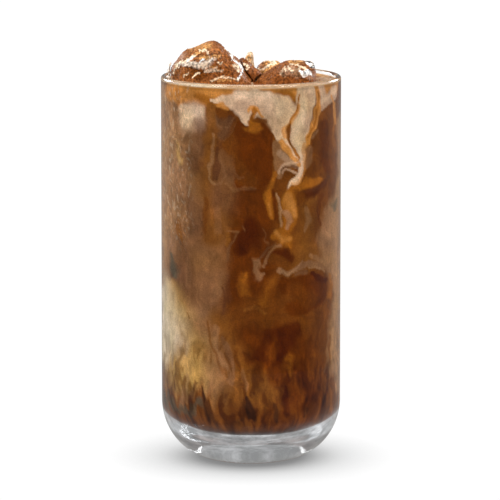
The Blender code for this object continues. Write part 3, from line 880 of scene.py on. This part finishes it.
LOW_SWIRLS = (
    ("espresso", 0.8, 0.85, ((12, 99, 3), (16.6, 98, 3.4), (14, 103, 4.4), (12, 109, 2))),
    ("espresso", 0.9, 0.7, ((7.6, 98, 2), (3, 109, 1.8), (22, 118, 3), (24, 124, 2.4))),
    ("amber", 2.0, 0.6, ((14.6, 111, 1.6), (15.4, 116, 1.2))),
    ("toffee", 0.9, 0.5, ((-2, 90, 1), (2, 89.4, 1), (6, 90, 0.8))),
    ("fawn", 0.8, 0.6, ((-10, 101, 1), (-8, 107, 1.6), (-6.6, 113, 1.4), (-8, 119, 1.6))),
    ("tan", 1.0, 0.4, ((-13, 96, 1.2), (-14, 104, 1.4), (-11, 114, 1.6))),
    ("coffee", 1.6, 0.6, (
        (-16.6, 94, 0.4), (-16.4, 102, 0.6), (-14.6, 107, 0.6), (-12.4, 112, 0.5), (-9.6, 118, 0.4),
    )),
    ("coffee", 0.7, 0.8, ((-4.6, 108, 0.9), (-4.6, 112, 1.1), (-3.6, 116, 0.7))),
    ("espresso", 1.0, 0.5, ((-0.6, 108, 1), (1.6, 112, 1.4))),
    ("coffee", 0.6, 0.7, ((-24.8, 90, 0.2), (-24, 93, 0.25))),
    ("fawn", 0.8, 0.6, ((31.4, 98, 0.5), (31.2, 106, 0.7), (30.4, 112, 0.6))),
    ("coffee", 0.8, 0.8, ((32, 100, 0.5), (31.4, 104, 0.5), (32, 108, 0.4))),
    ("fawn", 0.9, 0.5, ((-2, 116, 1.2), (-1, 121, 1.2))),
    ("tan", 0.9, 0.5, ((-26, 116, 1.2), (-26.6, 124, 1.2), (-28, 128, 1))),
    ("slate", 0.9, 0.75, ((-36, 121, 2.6), (-33.6, 127, 2.4), (-28, 130, 1.8), (-22, 130, 2.2))),
    ("dusk", 0.8, 0.7, ((-22.6, 120, 0.6), (-24, 125, 0.7), (-24.4, 128, 0.4))),
    ("ink", 0.9, 0.9, ((-19, 125, 1.4), (-17.6, 129, 2.4), (-17, 132, 2.6))),
    ("ink", 0.7, 0.95, ((-0.6, 125, 1.2), (-0.4, 130, 1.7), (0.4, 135, 1.6))),
    ("ink", 0.8, 0.9, ((9.6, 130, 0.9), (10.4, 135, 1.4))),
    ("espresso", 0.8, 0.9, ((13.6, 125, 1.4), (14.4, 130, 1.6))),
    ("espresso", 0.8, 0.9, ((30.4, 124, 1), (29.6, 127, 1.1))),
    ("ink", 0.8, 0.7, ((23, 128, 0.8), (22.4, 132, 0.8))),
)
# Stirring: the size of each eddy and how far it carries the colours, in mm, and how much harder and
# further it goes from the turn where the sides begin
EDDIES = ((14.0, 0.9), (5.5, 0.9), (2.4, 0.5), (1.2, 0.24))
EDDY_STRETCH = 1.5
UPWARD_STIR = 1.3
BACK_STIR = 3.4
BACK_DRIFT = 15.0
BACK_GRAIN = (12.0, 12.0, 22.0)
SIDE_TURN = 1.3
SIDE_FADE = 0.6
STREAKS = 0.11
STREAK_WIDTH = 1.1
STREAK_LENGTH = 9.0
SOFTEST = 0.4
LEAST_FACING = 0.3

# Folds, flames, creases, wisps and clouds: the size of their grain in mm and what they do to the
# colours. Flames and clouds are layers, each with its grain, strength and seed
SWEEP = 1.4
FOLD_GRAIN = (4.5, 4.5, 6.5)
FOLD_CARRY = 1.7
FLAME_TOP = 66.0
FLAME_FULL = 34.0
FLAME_LIFT = 4.5
FLAME_LIFT_GRAIN = (1.9, 1.9, 13.0)
FLAMES = (((3.0, 3.0, 12.0), 1.0, 60), ((1.5, 1.5, 5.0), 0.6, 61), ((0.8, 0.8, 4.0), 0.45, 66))
FLAME_EDGE = 1.3
DEEP_SHARE = (0.16, 0.66)
DEEPER = np.array([0.40, 0.27, 0.10])
PALE_SHARE = (0.08, 0.62)
PALE_LATE = 0.1
PALE_LIFT = 0.42
PALE_TOFFEE = 0.25
CREASE_GRAIN = (4.0, 4.0, 8.0)
CREASE_WIDTH = 0.2
CREASE_LIFT = 0.34
WISP_GRAIN = (2.0, 2.0, 4.2)
WISP_WIDTH = 0.22
WISP_LIFT = 0.3
CLOUDS = ((6.0, 1.0, 80), (2.4, 0.9, 81), ((1.0, 1.0, 2.2), 0.7, 82))
CLOUD_LIFT = 0.16
BLUE_GRAIN = 7.0
BLUE_LOSS = 0.15

# Dew at the left, its glints painted into the drink's colour, and the painted shade along the dark line
# where the drink is last seen over the base
MIST_FROM = 22.0
MIST_FADE = 8.0
MIST_FOOT = 84.0
MIST_LIFT = 0.1
MIST_DEPTH = 0.34
MIST_GRAINS = ((0.7, 0.7, 1.1), (0.83, 0.83, 1.3))
MIST_FLECKS = (0.3, 0.4)
MIRROR_COSINE = 0.449
LAST_TURN = 1.5
EDGE_BAND = 2.6
EDGE_PAINTED_SHADE = 0.72


def last_seen(turn):
    """Height in mm, at each turn, under which the bowl's corner shows as a mirror from the front."""
    steepness = np.arccos(np.clip(MIRROR_COSINE / np.maximum(np.cos(turn), 0.01), 0, 1))
    around = np.arctan(np.tan(steepness) * BOWL_CORNER_HEIGHT / BOWL_CORNER_WIDTH)
    return (corner_centre[1] - BOWL_CORNER_HEIGHT * np.sin(around)) / MM


def layered(places, layers):
    """The noise of (grain, strength, seed) layers, added up."""
    return sum(strength * drift(places, grain, seed) for grain, strength, seed in layers)


def flamed(paint, swept, lowness):
    """Deeper and paler tongues that reach upwards, strongest low in the glass."""
    flames = layered(swept, FLAMES)
    deep = (eased(-FLAME_EDGE * flames) * (DEEP_SHARE[0] + DEEP_SHARE[1] * lowness))[:, None]
    paint = paint * (1 - deep) + paint * DEEPER * deep
    pale = eased(FLAME_EDGE * flames - PALE_LATE) * (PALE_SHARE[0] + PALE_SHARE[1] * lowness)
    pale = pale[:, None]
    return paint * (1 + PALE_LIFT * pale) + PALE_TOFFEE * linear(COLOURS["toffee"]) * pale


def clouded_over(paint, places, swept):
    """Creases, wisps and clouds of milk, and milk that is here and there yellower."""
    creases = 1 - eased(np.abs(drift(swept, CREASE_GRAIN, 62)) / CREASE_WIDTH)
    paint = paint * (1 + CREASE_LIFT * creases * (0.3 + 0.7 * drift(places, 8.0, 63)))[:, None]
    wisps = 1 - eased(np.abs(drift(swept, WISP_GRAIN, 64)) / WISP_WIDTH)
    paint = paint * (1 + WISP_LIFT * wisps * drift(places, 5.0, 65))[:, None]
    paint = paint * (1 + CLOUD_LIFT * layered(swept, CLOUDS))[:, None]
    paint[:, 2] *= 1 - BLUE_LOSS * drift(swept, BLUE_GRAIN, 83)
    return paint


def misted(paint, swept, arc, height):
    """Fine mottling where dew grains the left of the glass, and the dew's glints, painted in as a lift and
    as straw-coloured flecks.
    """
    mist = eased((-arc - MIST_FROM) / MIST_FADE) * eased((height - MIST_FOOT) / 2 / MIST_FADE)
    mottling = MIST_DEPTH * mist * drift(swept, MIST_GRAINS[0], 70)
    paint = paint * (1 + MIST_LIFT * mist + mottling)[:, None]
    late, rise = MIST_FLECKS
    flecks = (MIST_DEPTH * mist * eased((drift(swept, MIST_GRAINS[1], 71) - late) / rise))[:, None]
    return paint * (1 - flecks) + linear(COLOURS["straw"]) * flecks


def brewed(turn, height):
    """The drink's colour on the wall, at each turn from the front in radians and height in mm, with the
    dew's glints and a shade along its lowest seen edge painted in.
    """
    radius = inner_radius / MM
    back = np.abs(turn) > math.pi / 2
    folded = np.where(back, np.sign(turn) * math.pi - turn, turn)
    places = np.column_stack([radius * np.sin(turn), -radius * np.cos(turn), height])
    carried = np.zeros_like(places)
    for seed, (grain, carry) in enumerate(EDDIES):
        for axis in range(3):
            eddy = drift(places, (grain, grain, EDDY_STRETCH * grain), 10 * seed + axis)
            carried[:, axis] += carry * eddy
    wall = np.column_stack([folded * radius, height])
    behind = eased((np.abs(turn) - SIDE_TURN) / SIDE_FADE)
    stir = 1 + (BACK_STIR - 1) * behind
    wall[:, 0] += stir * (carried[:, 0] + carried[:, 1])
    wall[:, 1] += stir * UPWARD_STIR * carried[:, 2]
    for axis in range(2):
        wall[:, axis] += behind * BACK_DRIFT * drift(places, BACK_GRAIN, 90 + axis)
    lowness = eased((FLAME_TOP - height) / FLAME_FULL)
    wall[:, 1] += FLAME_LIFT * lowness * drift(places, FLAME_LIFT_GRAIN, 50)
    paint = np.tile(linear(COLOURS["coffee"]), (len(wall), 1))
    swirls = GROUNDS + RIM_SWIRLS + MIDDLE_SWIRLS + LOW_SWIRLS
    for seed, (colour, soft, strength, way) in enumerate(swirls):
        plume(paint, wall, colour, way, soft, strength, seed)
    swept = places + SWEEP * carried
    folds = np.column_stack([drift(swept, FOLD_GRAIN, 84 + axis) for axis in range(3)])
    swept = swept + FOLD_CARRY * folds
    paint = flamed(paint, swept, lowness)
    paint = clouded_over(paint, places, swept)
    paint = misted(paint, swept, folded * radius, height)
    # Painted shade: the drink darkens just above where the base's mirror hides it, most in front
    above_edge = (height - last_seen(np.clip(folded, -LAST_TURN, LAST_TURN))) / EDGE_BAND
    paint = paint * (1 - EDGE_PAINTED_SHADE * np.cos(folded) ** 3 * eased(1 - above_edge))[:, None]
    return np.clip(paint, 0, 1)


# The drink's own mesh: turned in fine steps in front, and cut round each lump
HOLLOW_SHRINK = 0.3
FROTH_HEIGHT = 0.0003
FROTH_SHORT = 0.0006
FROTH_RINGS = 66
FROTH_STEPS = 300
FROTH_RELIEF = ((2.4, 0.10), (0.9, 0.08))
FROTH_TONES = {
    "foam": ((190, 150, 110), 1.0),
    "pale_foam": ((214, 192, 160), 1.0),
    "white_foam": ((226, 214, 194), 1.0),
    "gold_foam": ((196, 146, 92), 1.0),
    "brown_foam": ((164, 126, 94), 1.0),
    "cocoa": ((130, 66, 22), 1.0),
}
FROTH_SWIRLS = (
    ("pale_foam", 0.8, 0.95, ((-35, -5.4, 2), (-30, -3, 1.8), (-20, -1.8, 1.8), (-11, -1.4, 1.5))),
    ("white_foam", 0.9, 0.7, ((-35, -4.4, 0.8), (-29, -2.2, 0.6), (-20, -0.8, 0.5))),
    ("brown_foam", 0.8, 0.95, ((9, -1.8, 1.5), (20, -2.6, 1.5), (28, -3.6, 1.4), (34, -5.2, 1.2))),
    ("pale_foam", 0.7, 0.6, ((6, -2.6, 0.5), (12, -2.8, 0.5), (15, -2.6, 0.4))),
    ("gold_foam", 0.9, 0.9, ((25, -6, 1.2), (28, -6.2, 1.4), (31, -6.2, 1.1))),
    ("white_foam", 0.9, 0.9, ((30, -8, 1), (33.4, -7.2, 1.2), (35.4, -5.6, 1))),
    ("cocoa", 0.7, 0.95, ((-5, -1.2, 0.9), (-1, -2, 1.5), (4, -2, 1.3), (9, -3, 1))),
    ("cocoa", 0.8, 0.95, ((-5, -5, 2), (2, -5, 2.6), (9, -4.4, 2))),
    ("cocoa", 0.7, 0.8, ((25, -4.8, 0.6), (27, -4.6, 0.5))),
    ("pale_foam", 0.5, 0.7, ((0.4, -2, 0.3), (0.8, -1, 0.35))),
)
FLOOR_POINTS = 5
CREEP_POINTS = 5
LEVEL_POINTS = 12
FROTH_EDGE_STEPS = 4
SHARP_DEGREES = 50
SHADE_DEPTH = 0.9
SHADE_SHARE = 0.3
DRINK_IOR = 1.34
DRINK_SHEEN = {"Roughness": 0.35, "IOR": DRINK_IOR, "Specular IOR Level": 0.06}
DRINK_GRAIN = {
    "Scale": 1900.0, "Detail": 2.0, "From Min": 0.3, "From Max": 0.7, "To Min": 0.80, "To Max": 1.18,
}
MIRROR_TOP = 0.04
MIRROR_ROUGHNESS = 0.08
MIRROR_CLOUDS = {"Scale": 130.0, "Detail": 6.0, "Roughness": 0.65}
# The share of the base's mirror that is a painted reflection, a diffuse grey, and the greys that paint it
# and tint the glossy rest
PAINTED_REFLECTION_SHARE = 0.72
DULL_SILVER = (0.52, 0.53, 0.54)
BRIGHT_SILVER = (0.95, 0.96, 0.98)


def two_tones(nodes, links, value, low, low_tone, high, high_tone):
    """One tone up to a low value and another from a high one, with a blend between."""
    ramp = add_node(nodes, "ValToRGB")
    stops = ramp.color_ramp.elements
    for stop, place, tone in zip(stops, (low, high), (low_tone, high_tone)):
        stop.position = place
        stop.color = (*tone, 1.0)
    links.new(value, ramp.inputs["Fac"])
    return ramp.outputs["Color"]


reach_radius = inner_radius + DRINK_REACH
drink_profile = (
    [(radius, FLOOR_HEIGHT - DRINK_REACH) for radius in np.linspace(0, corner_centre[0], FLOOR_POINTS)[:-1]]
    + arc_points(
        corner_centre, BOWL_CORNER_WIDTH + DRINK_REACH, BOWL_CORNER_HEIGHT + DRINK_REACH, -90, 0,
        CORNER_STEPS,
    )
    + [
        (reach_radius, height)
        for height in np.linspace(corner_centre[1], DRINK_LEVEL + CREEP_HEIGHT, WALL_ROWS)[1:]
    ]
    + [
        (reach_radius - CREEP_WIDTH * share, DRINK_LEVEL + CREEP_HEIGHT * (1 - share) ** 2)
        for share in np.linspace(0, 1, CREEP_POINTS)[1:]
    ]
    + [
        (radius, DRINK_LEVEL)
        for radius in np.linspace(reach_radius - CREEP_WIDTH, 0, LEVEL_POINTS)[1:]
    ]
)
latte = draw_profile("latte_drink", drink_profile)
spin_closed([(math.pi, FRONT_STEPS), (math.pi, BACK_STEPS)])
froth_edge = (reach_radius - FROTH_SHORT - FROTH_HEIGHT, DRINK_LEVEL)
froth_profile = (
    [(0.0, DRINK_LEVEL - FROTH_HEIGHT), (froth_edge[0], DRINK_LEVEL - FROTH_HEIGHT)]
    + arc_points(froth_edge, FROTH_HEIGHT, FROTH_HEIGHT, 0, 90, FROTH_EDGE_STEPS)
    + [
        (radius, DRINK_LEVEL + FROTH_HEIGHT)
        for radius in np.linspace(froth_edge[0], 0, FROTH_RINGS)[1:]
    ]
)
froth = draw_profile("latte_froth", froth_profile)
spin_closed([(2 * math.pi, FROTH_STEPS)])
for lump in ICE_LUMPS:
    hollow = merged_copy("ice_" + lump, "hollow_" + lump)
    places, normals = mesh_places(hollow)
    set_places(hollow, places - HOLLOW_SHRINK * normals)
    for soaked in (latte, froth):
        pick(soaked)
        bpy.ops.object.modifier_add(type="BOOLEAN")
        cut_round = soaked.modifiers["Boolean"]
        cut_round.operation = "DIFFERENCE"
        cut_round.solver = "MANIFOLD"
        cut_round.object = hollow
        bpy.ops.object.modifier_apply(modifier="Boolean")
    bpy.data.objects.remove(hollow)
for soaked in (latte, froth):
    pick(soaked)
    bpy.ops.object.shade_smooth_by_angle(angle=math.radians(SHARP_DEGREES))

places, normals = mesh_places(latte)
paint = brewed(np.arctan2(places[:, 0], -places[:, 1]), places[:, 2])
crest = DRINK_LEVEL / MM + CREEP_HEIGHT / MM
shade = np.maximum(1 - np.abs(crest - SHADE_DEPTH - places[:, 2]) / SHADE_DEPTH, 0)
paint *= 1 - SHADE_SHARE * eased(shade)[:, None]
foam = patches(places, "foam", FROTH_SWIRLS, FROTH_TONES, 20)[:, :3]
off_wall = reach_radius / MM - np.linalg.norm(places[:, :2], axis=1)
on_top = (eased(off_wall / 0.5) * eased((places[:, 2] - DRINK_LEVEL / MM + 1.2) / 0.8))[:, None]
paint = paint * (1 - on_top) + foam * on_top
edge = eased((places[:, 2] - crest + 0.5) / 0.4)[:, None] * (1 - on_top)
paint = paint * (1 - edge) + (0.4 * foam + 0.6 * linear(COLOURS["rim_milk"])) * edge
paint_on(latte, "brew", np.column_stack([paint, np.ones(len(paint))]))

places, normals = mesh_places(froth)
up = eased((normals[:, 2] - 0.5) / 0.4)
for grain, depth in FROTH_RELIEF:
    places[:, 2] += up * depth * drift(places, grain, 92)
set_places(froth, places)
paint_on(froth, "brew", patches(places, "foam", FROTH_SWIRLS, FROTH_TONES, 20))

milky_coffee, nodes, links, body = start_material("milky_coffee")
set_sockets(body, DRINK_SHEEN)
swirls = add_node(nodes, "Attribute", attribute_name="brew")
grain = add_node(nodes, "Group", DRINK_GRAIN, node_tree=fine_grain)
tinted = grained(nodes, links, swirls.outputs["Color"], grain.outputs["Spread"])
links.new(tinted, body.inputs["Base Color"])

# Seen through the thick base, the bowl's floor is past the angle of total reflection and mirrors. Most of
# that mirror is a painted reflection, a diffuse grey mottled by noise; the rest is truly glossy.
under = add_node(nodes, "Fresnel", {"IOR": DRINK_IOR / GLASS_IOR})
position = add_node(nodes, "TexCoord")
place = add_node(nodes, "SeparateXYZ")
links.new(position.outputs["Object"], place.inputs["Vector"])
below = add_node(nodes, "Math", {1: MIRROR_TOP}, operation="LESS_THAN")
links.new(place.outputs["Z"], below.inputs[0])
mirrors = add_node(nodes, "Math", operation="MULTIPLY")
links.new(under.outputs["Fac"], mirrors.inputs[0])
links.new(below.outputs["Value"], mirrors.inputs[1])
mirror_mottle = add_node(nodes, "TexNoise", MIRROR_CLOUDS)
links.new(position.outputs["Object"], mirror_mottle.inputs["Vector"])
silver = two_tones(nodes, links, mirror_mottle.outputs["Fac"], 0.40, DULL_SILVER, 0.60, BRIGHT_SILVER)
mirror = add_node(nodes, "BsdfGlossy", {"Roughness": MIRROR_ROUGHNESS})
painted_reflection = add_node(nodes, "BsdfDiffuse")
base_look = add_node(nodes, "MixShader", {0: PAINTED_REFLECTION_SHARE})
for socket, look in ((1, mirror), (2, painted_reflection)):
    links.new(silver, look.inputs["Color"])
    links.new(look.outputs[0], base_look.inputs[socket])
skin = mixed(nodes, links, mirrors.outputs["Value"], body.outputs[0], base_look.outputs[0])
links.new(skin, nodes["Material Output"].inputs["Surface"])
latte.data.materials.clear()
latte.data.materials.append(milky_coffee)
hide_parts("latte")
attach(latte, "root")
froth.data.materials.clear()
froth.data.materials.append(milky_coffee)
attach(froth, "root")


# Cocoa
# Loose grains of cocoa powder, caught on the ice and the froth where the powder lies. They are one
# mesh, each grain a small rough bead of its own size.
GRAIN_COUNT = 1500
GRAIN_RADIUS = (0.10, 0.24)
GRAIN_ROUGHNESS = 0.3
GRAIN_LIFT = 0.08
GRAIN_REDS = (90, 170)
GRAIN_TONES = ((84, 38, 8), (176, 110, 56))
GRAIN_SPECKS = {"Scale": 1100.0, "Detail": 2.0}


def beads(name, spots, radii, rough, seed):
    """One mesh of beads with twenty faces each, set on the spots in mm."""
    deselect_all()
    bpy.ops.mesh.primitive_ico_sphere_add(subdivisions=1, radius=1.0, location=(0, 0, 0))
    pattern = bpy.context.object
    corners = np.array([corner.co for corner in pattern.data.vertices])
    sides = np.array([side.vertices[:] for side in pattern.data.polygons])
    bpy.data.objects.remove(pattern)
    chance = np.random.default_rng(seed)
    uneven = 1 + rough * chance.uniform(-1, 1, (len(spots), len(corners), 1))
    places = spots[:, None] + radii[:, None, None] * uneven * corners
    faces = sides[None] + len(corners) * np.arange(len(spots))[:, None, None]
    mesh = bpy.data.meshes.new(name)
    mesh.from_pydata((places.reshape(-1, 3) * MM).tolist(), [], faces.reshape(-1, 3).tolist())
    piece = bpy.data.objects.new(name, mesh)
    bpy.context.scene.collection.objects.link(piece)
    return piece


cocoa_powder, nodes, links, dust = start_material("cocoa_powder")
set_sockets(dust, {"Roughness": 0.9, "Specular IOR Level": 0.2})
specks = add_node(nodes, "Group", GRAIN_SPECKS, node_tree=fine_grain)
darker, lighter = (linear(tone) for tone in GRAIN_TONES)
tones = two_tones(nodes, links, specks.outputs["Noise"], 0.34, darker, 0.68, lighter)
links.new(tones, dust.inputs["Base Color"])

chance = np.random.default_rng(31)
catches = []
for piece, layer in [(ice[lump], "dust_and_highlights") for lump in ICE_LUMPS] + [(froth, "brew")]:
    places, normals = mesh_places(piece)
    paint = paint_of(piece, layer)
    catching = (normals[:, 2] > 0.1) & (places[:, 2] > DRINK_LEVEL / MM) & (paint[:, 3] > 0.9)
    catching &= (paint[:, 0] > linear(GRAIN_REDS[0])) & (paint[:, 0] < linear(GRAIN_REDS[1]))
    catches.append(places[catching] + GRAIN_LIFT * normals[catching])
spots = np.concatenate(catches)
spots = spots[chance.choice(len(spots), GRAIN_COUNT, replace=False)]
radii = chance.uniform(*GRAIN_RADIUS, GRAIN_COUNT) * chance.uniform(0.6, 1, GRAIN_COUNT)
spots[:, 2] = np.minimum(spots[:, 2], cad_box[1].z / MM - GRAIN_RADIUS[1] * 1.4)
cocoa = beads("cocoa_grains", spots, radii, GRAIN_ROUGHNESS, 32)
cocoa.data.materials.append(cocoa_powder)
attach(cocoa, "root")


# Bubbles
# Small bubbles of milk foam, crowded where the froth meets the glass and in the open patch at the
# right back, half sunk in the froth.
BUBBLE_COUNT = 700
BUBBLE_RADIUS = (0.12, 0.42)
BUBBLE_RING = 29.5
BUBBLE_SINK = 0.35
BUBBLE_ROUGHNESS = 0.04
BUBBLE_MILK = 110
BUBBLE_TONES = ((170, 124, 82), (214, 186, 150))
BUBBLE_SPECKS = {"Scale": 420.0, "Detail": 2.0}

foam_skin, nodes, links, film = start_material("foam_bubbles")
set_sockets(film, {"Roughness": 0.16, "Specular IOR Level": 0.5})
milkiness = add_node(nodes, "Group", BUBBLE_SPECKS, node_tree=fine_grain)
darker, lighter = (linear(tone) for tone in BUBBLE_TONES)
tones = two_tones(nodes, links, milkiness.outputs["Noise"], 0.36, darker, 0.62, lighter)
links.new(tones, film.inputs["Base Color"])

places, normals = mesh_places(froth)
foamy = (normals[:, 2] > 0.8) & (paint_of(froth, "brew")[:, 1] > linear(BUBBLE_MILK))
from_middle = np.linalg.norm(places[:, :2], axis=1)
open_patch = (places[:, 0] > 18) & (places[:, 1] > 2)
spots = places[foamy & ((from_middle > BUBBLE_RING) | open_patch)]
chance = np.random.default_rng(41)
spots = spots[chance.choice(len(spots), BUBBLE_COUNT, replace=False)]
least, most = BUBBLE_RADIUS
radii = least + (most - least) * chance.uniform(0, 1, BUBBLE_COUNT) ** 3
spots[:, 2] -= BUBBLE_SINK * radii
bubbles = beads("froth_bubbles", spots, radii, BUBBLE_ROUGHNESS, 42)
pick(bubbles)
bpy.ops.object.shade_smooth()
bubbles.data.materials.append(foam_skin)
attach(bubbles, "root")


# Floor and light
# A pale table under soft white lamps in front and behind. It glows by itself, darker where the glass
# stands close over it, so that it runs out to white. The room is white to the eye, and dim in front
# and brighter behind to what mirrors it, which draws the edges of the glass.
FLOOR_RADIUS = 0.30
SHADOW_REACH = 0.046
SHADOW_DARKEST = (0.24, 0.24, 0.24)
FLOOR_WHITE = (1.02, 1.02, 1.02)
ROOM_COLOUR = (1.0, 0.97, 0.92)
ROOM_STRENGTH = 0.25
SEEN_STRENGTH = 1.05
MIRRORED_ROOM = {"From Min": -0.3, "From Max": 0.8, "To Min": 0.05, "To Max": 0.32}
LAMP_AIM = 0.08
deselect_all()
bpy.ops.mesh.primitive_circle_add(vertices=96, radius=FLOOR_RADIUS, fill_type="NGON", location=(0, 0, 0))
floor = bpy.context.object
floor.name = "floor"
pale, nodes, links, plain = start_material("pale_floor")
nodes.remove(plain)
closeness = add_node(nodes, "AmbientOcclusion", {"Distance": SHADOW_REACH}, samples=16)
shading = two_tones(nodes, links, closeness.outputs["AO"], 0.10, SHADOW_DARKEST, 0.86, FLOOR_WHITE)
glow = add_node(nodes, "Emission")
links.new(shading, glow.inputs["Color"])
links.new(glow.outputs[0], nodes["Material Output"].inputs["Surface"])
floor.data.materials.append(pale)
floor.visible_glossy = False

LAMPS = (
    ("top", (0.0, -0.15, 1.1), 1.0, 7.5),
    ("left_front", (-0.7, -0.8, 0.75), 0.5, 6.4),
    ("right_front", (0.8, -0.6, 0.7), 0.5, 5.0),
    ("left_back", (-0.7, 0.7, 0.35), 0.5, 5.0),
    ("right_back", (0.7, 0.7, 0.35), 0.5, 5.0),
)
for name, place, size, power in LAMPS:
    bpy.ops.object.light_add(type="AREA", location=place)
    lamp = bpy.context.object
    lamp.name = name
    lamp.data.shape = "DISK"
    lamp.data.size = size
    lamp.data.energy = power
    aim = lamp.location.copy()
    aim.z -= LAMP_AIM
    lamp.rotation_euler = aim.to_track_quat("Z", "Y").to_euler()

world = bpy.data.worlds.new("studio")
bpy.context.scene.world = world
world.use_nodes = True
nodes = world.node_tree.nodes
links = world.node_tree.links
room = nodes["Background"]
set_sockets(room, {"Color": (*ROOM_COLOUR, 1.0)})
white = add_node(nodes, "Background", {"Color": (1.0, 1.0, 1.0, 1.0), "Strength": SEEN_STRENGTH})
facing = add_node(nodes, "TexCoord")
way_out = add_node(nodes, "SeparateXYZ")
links.new(facing.outputs["Generated"], way_out.inputs["Vector"])
mirrored = add_node(nodes, "MapRange", MIRRORED_ROOM)
links.new(way_out.outputs["Y"], mirrored.inputs["Value"])
path = add_node(nodes, "LightPath")
dim = add_node(nodes, "MapRange", {"To Min": ROOM_STRENGTH})
links.new(path.outputs["Is Glossy Ray"], dim.inputs["Value"])
links.new(mirrored.outputs["Result"], dim.inputs["To Max"])
links.new(dim.outputs["Result"], room.inputs["Strength"])
straight = either_ray(nodes, links, "Is Camera Ray", "Is Transmission Ray")
seen = mixed(nodes, links, straight, room.outputs[0], white.outputs[0])
links.new(seen, nodes["World Output"].inputs["Surface"])
bpy.context.scene.view_settings.view_transform = "Standard"
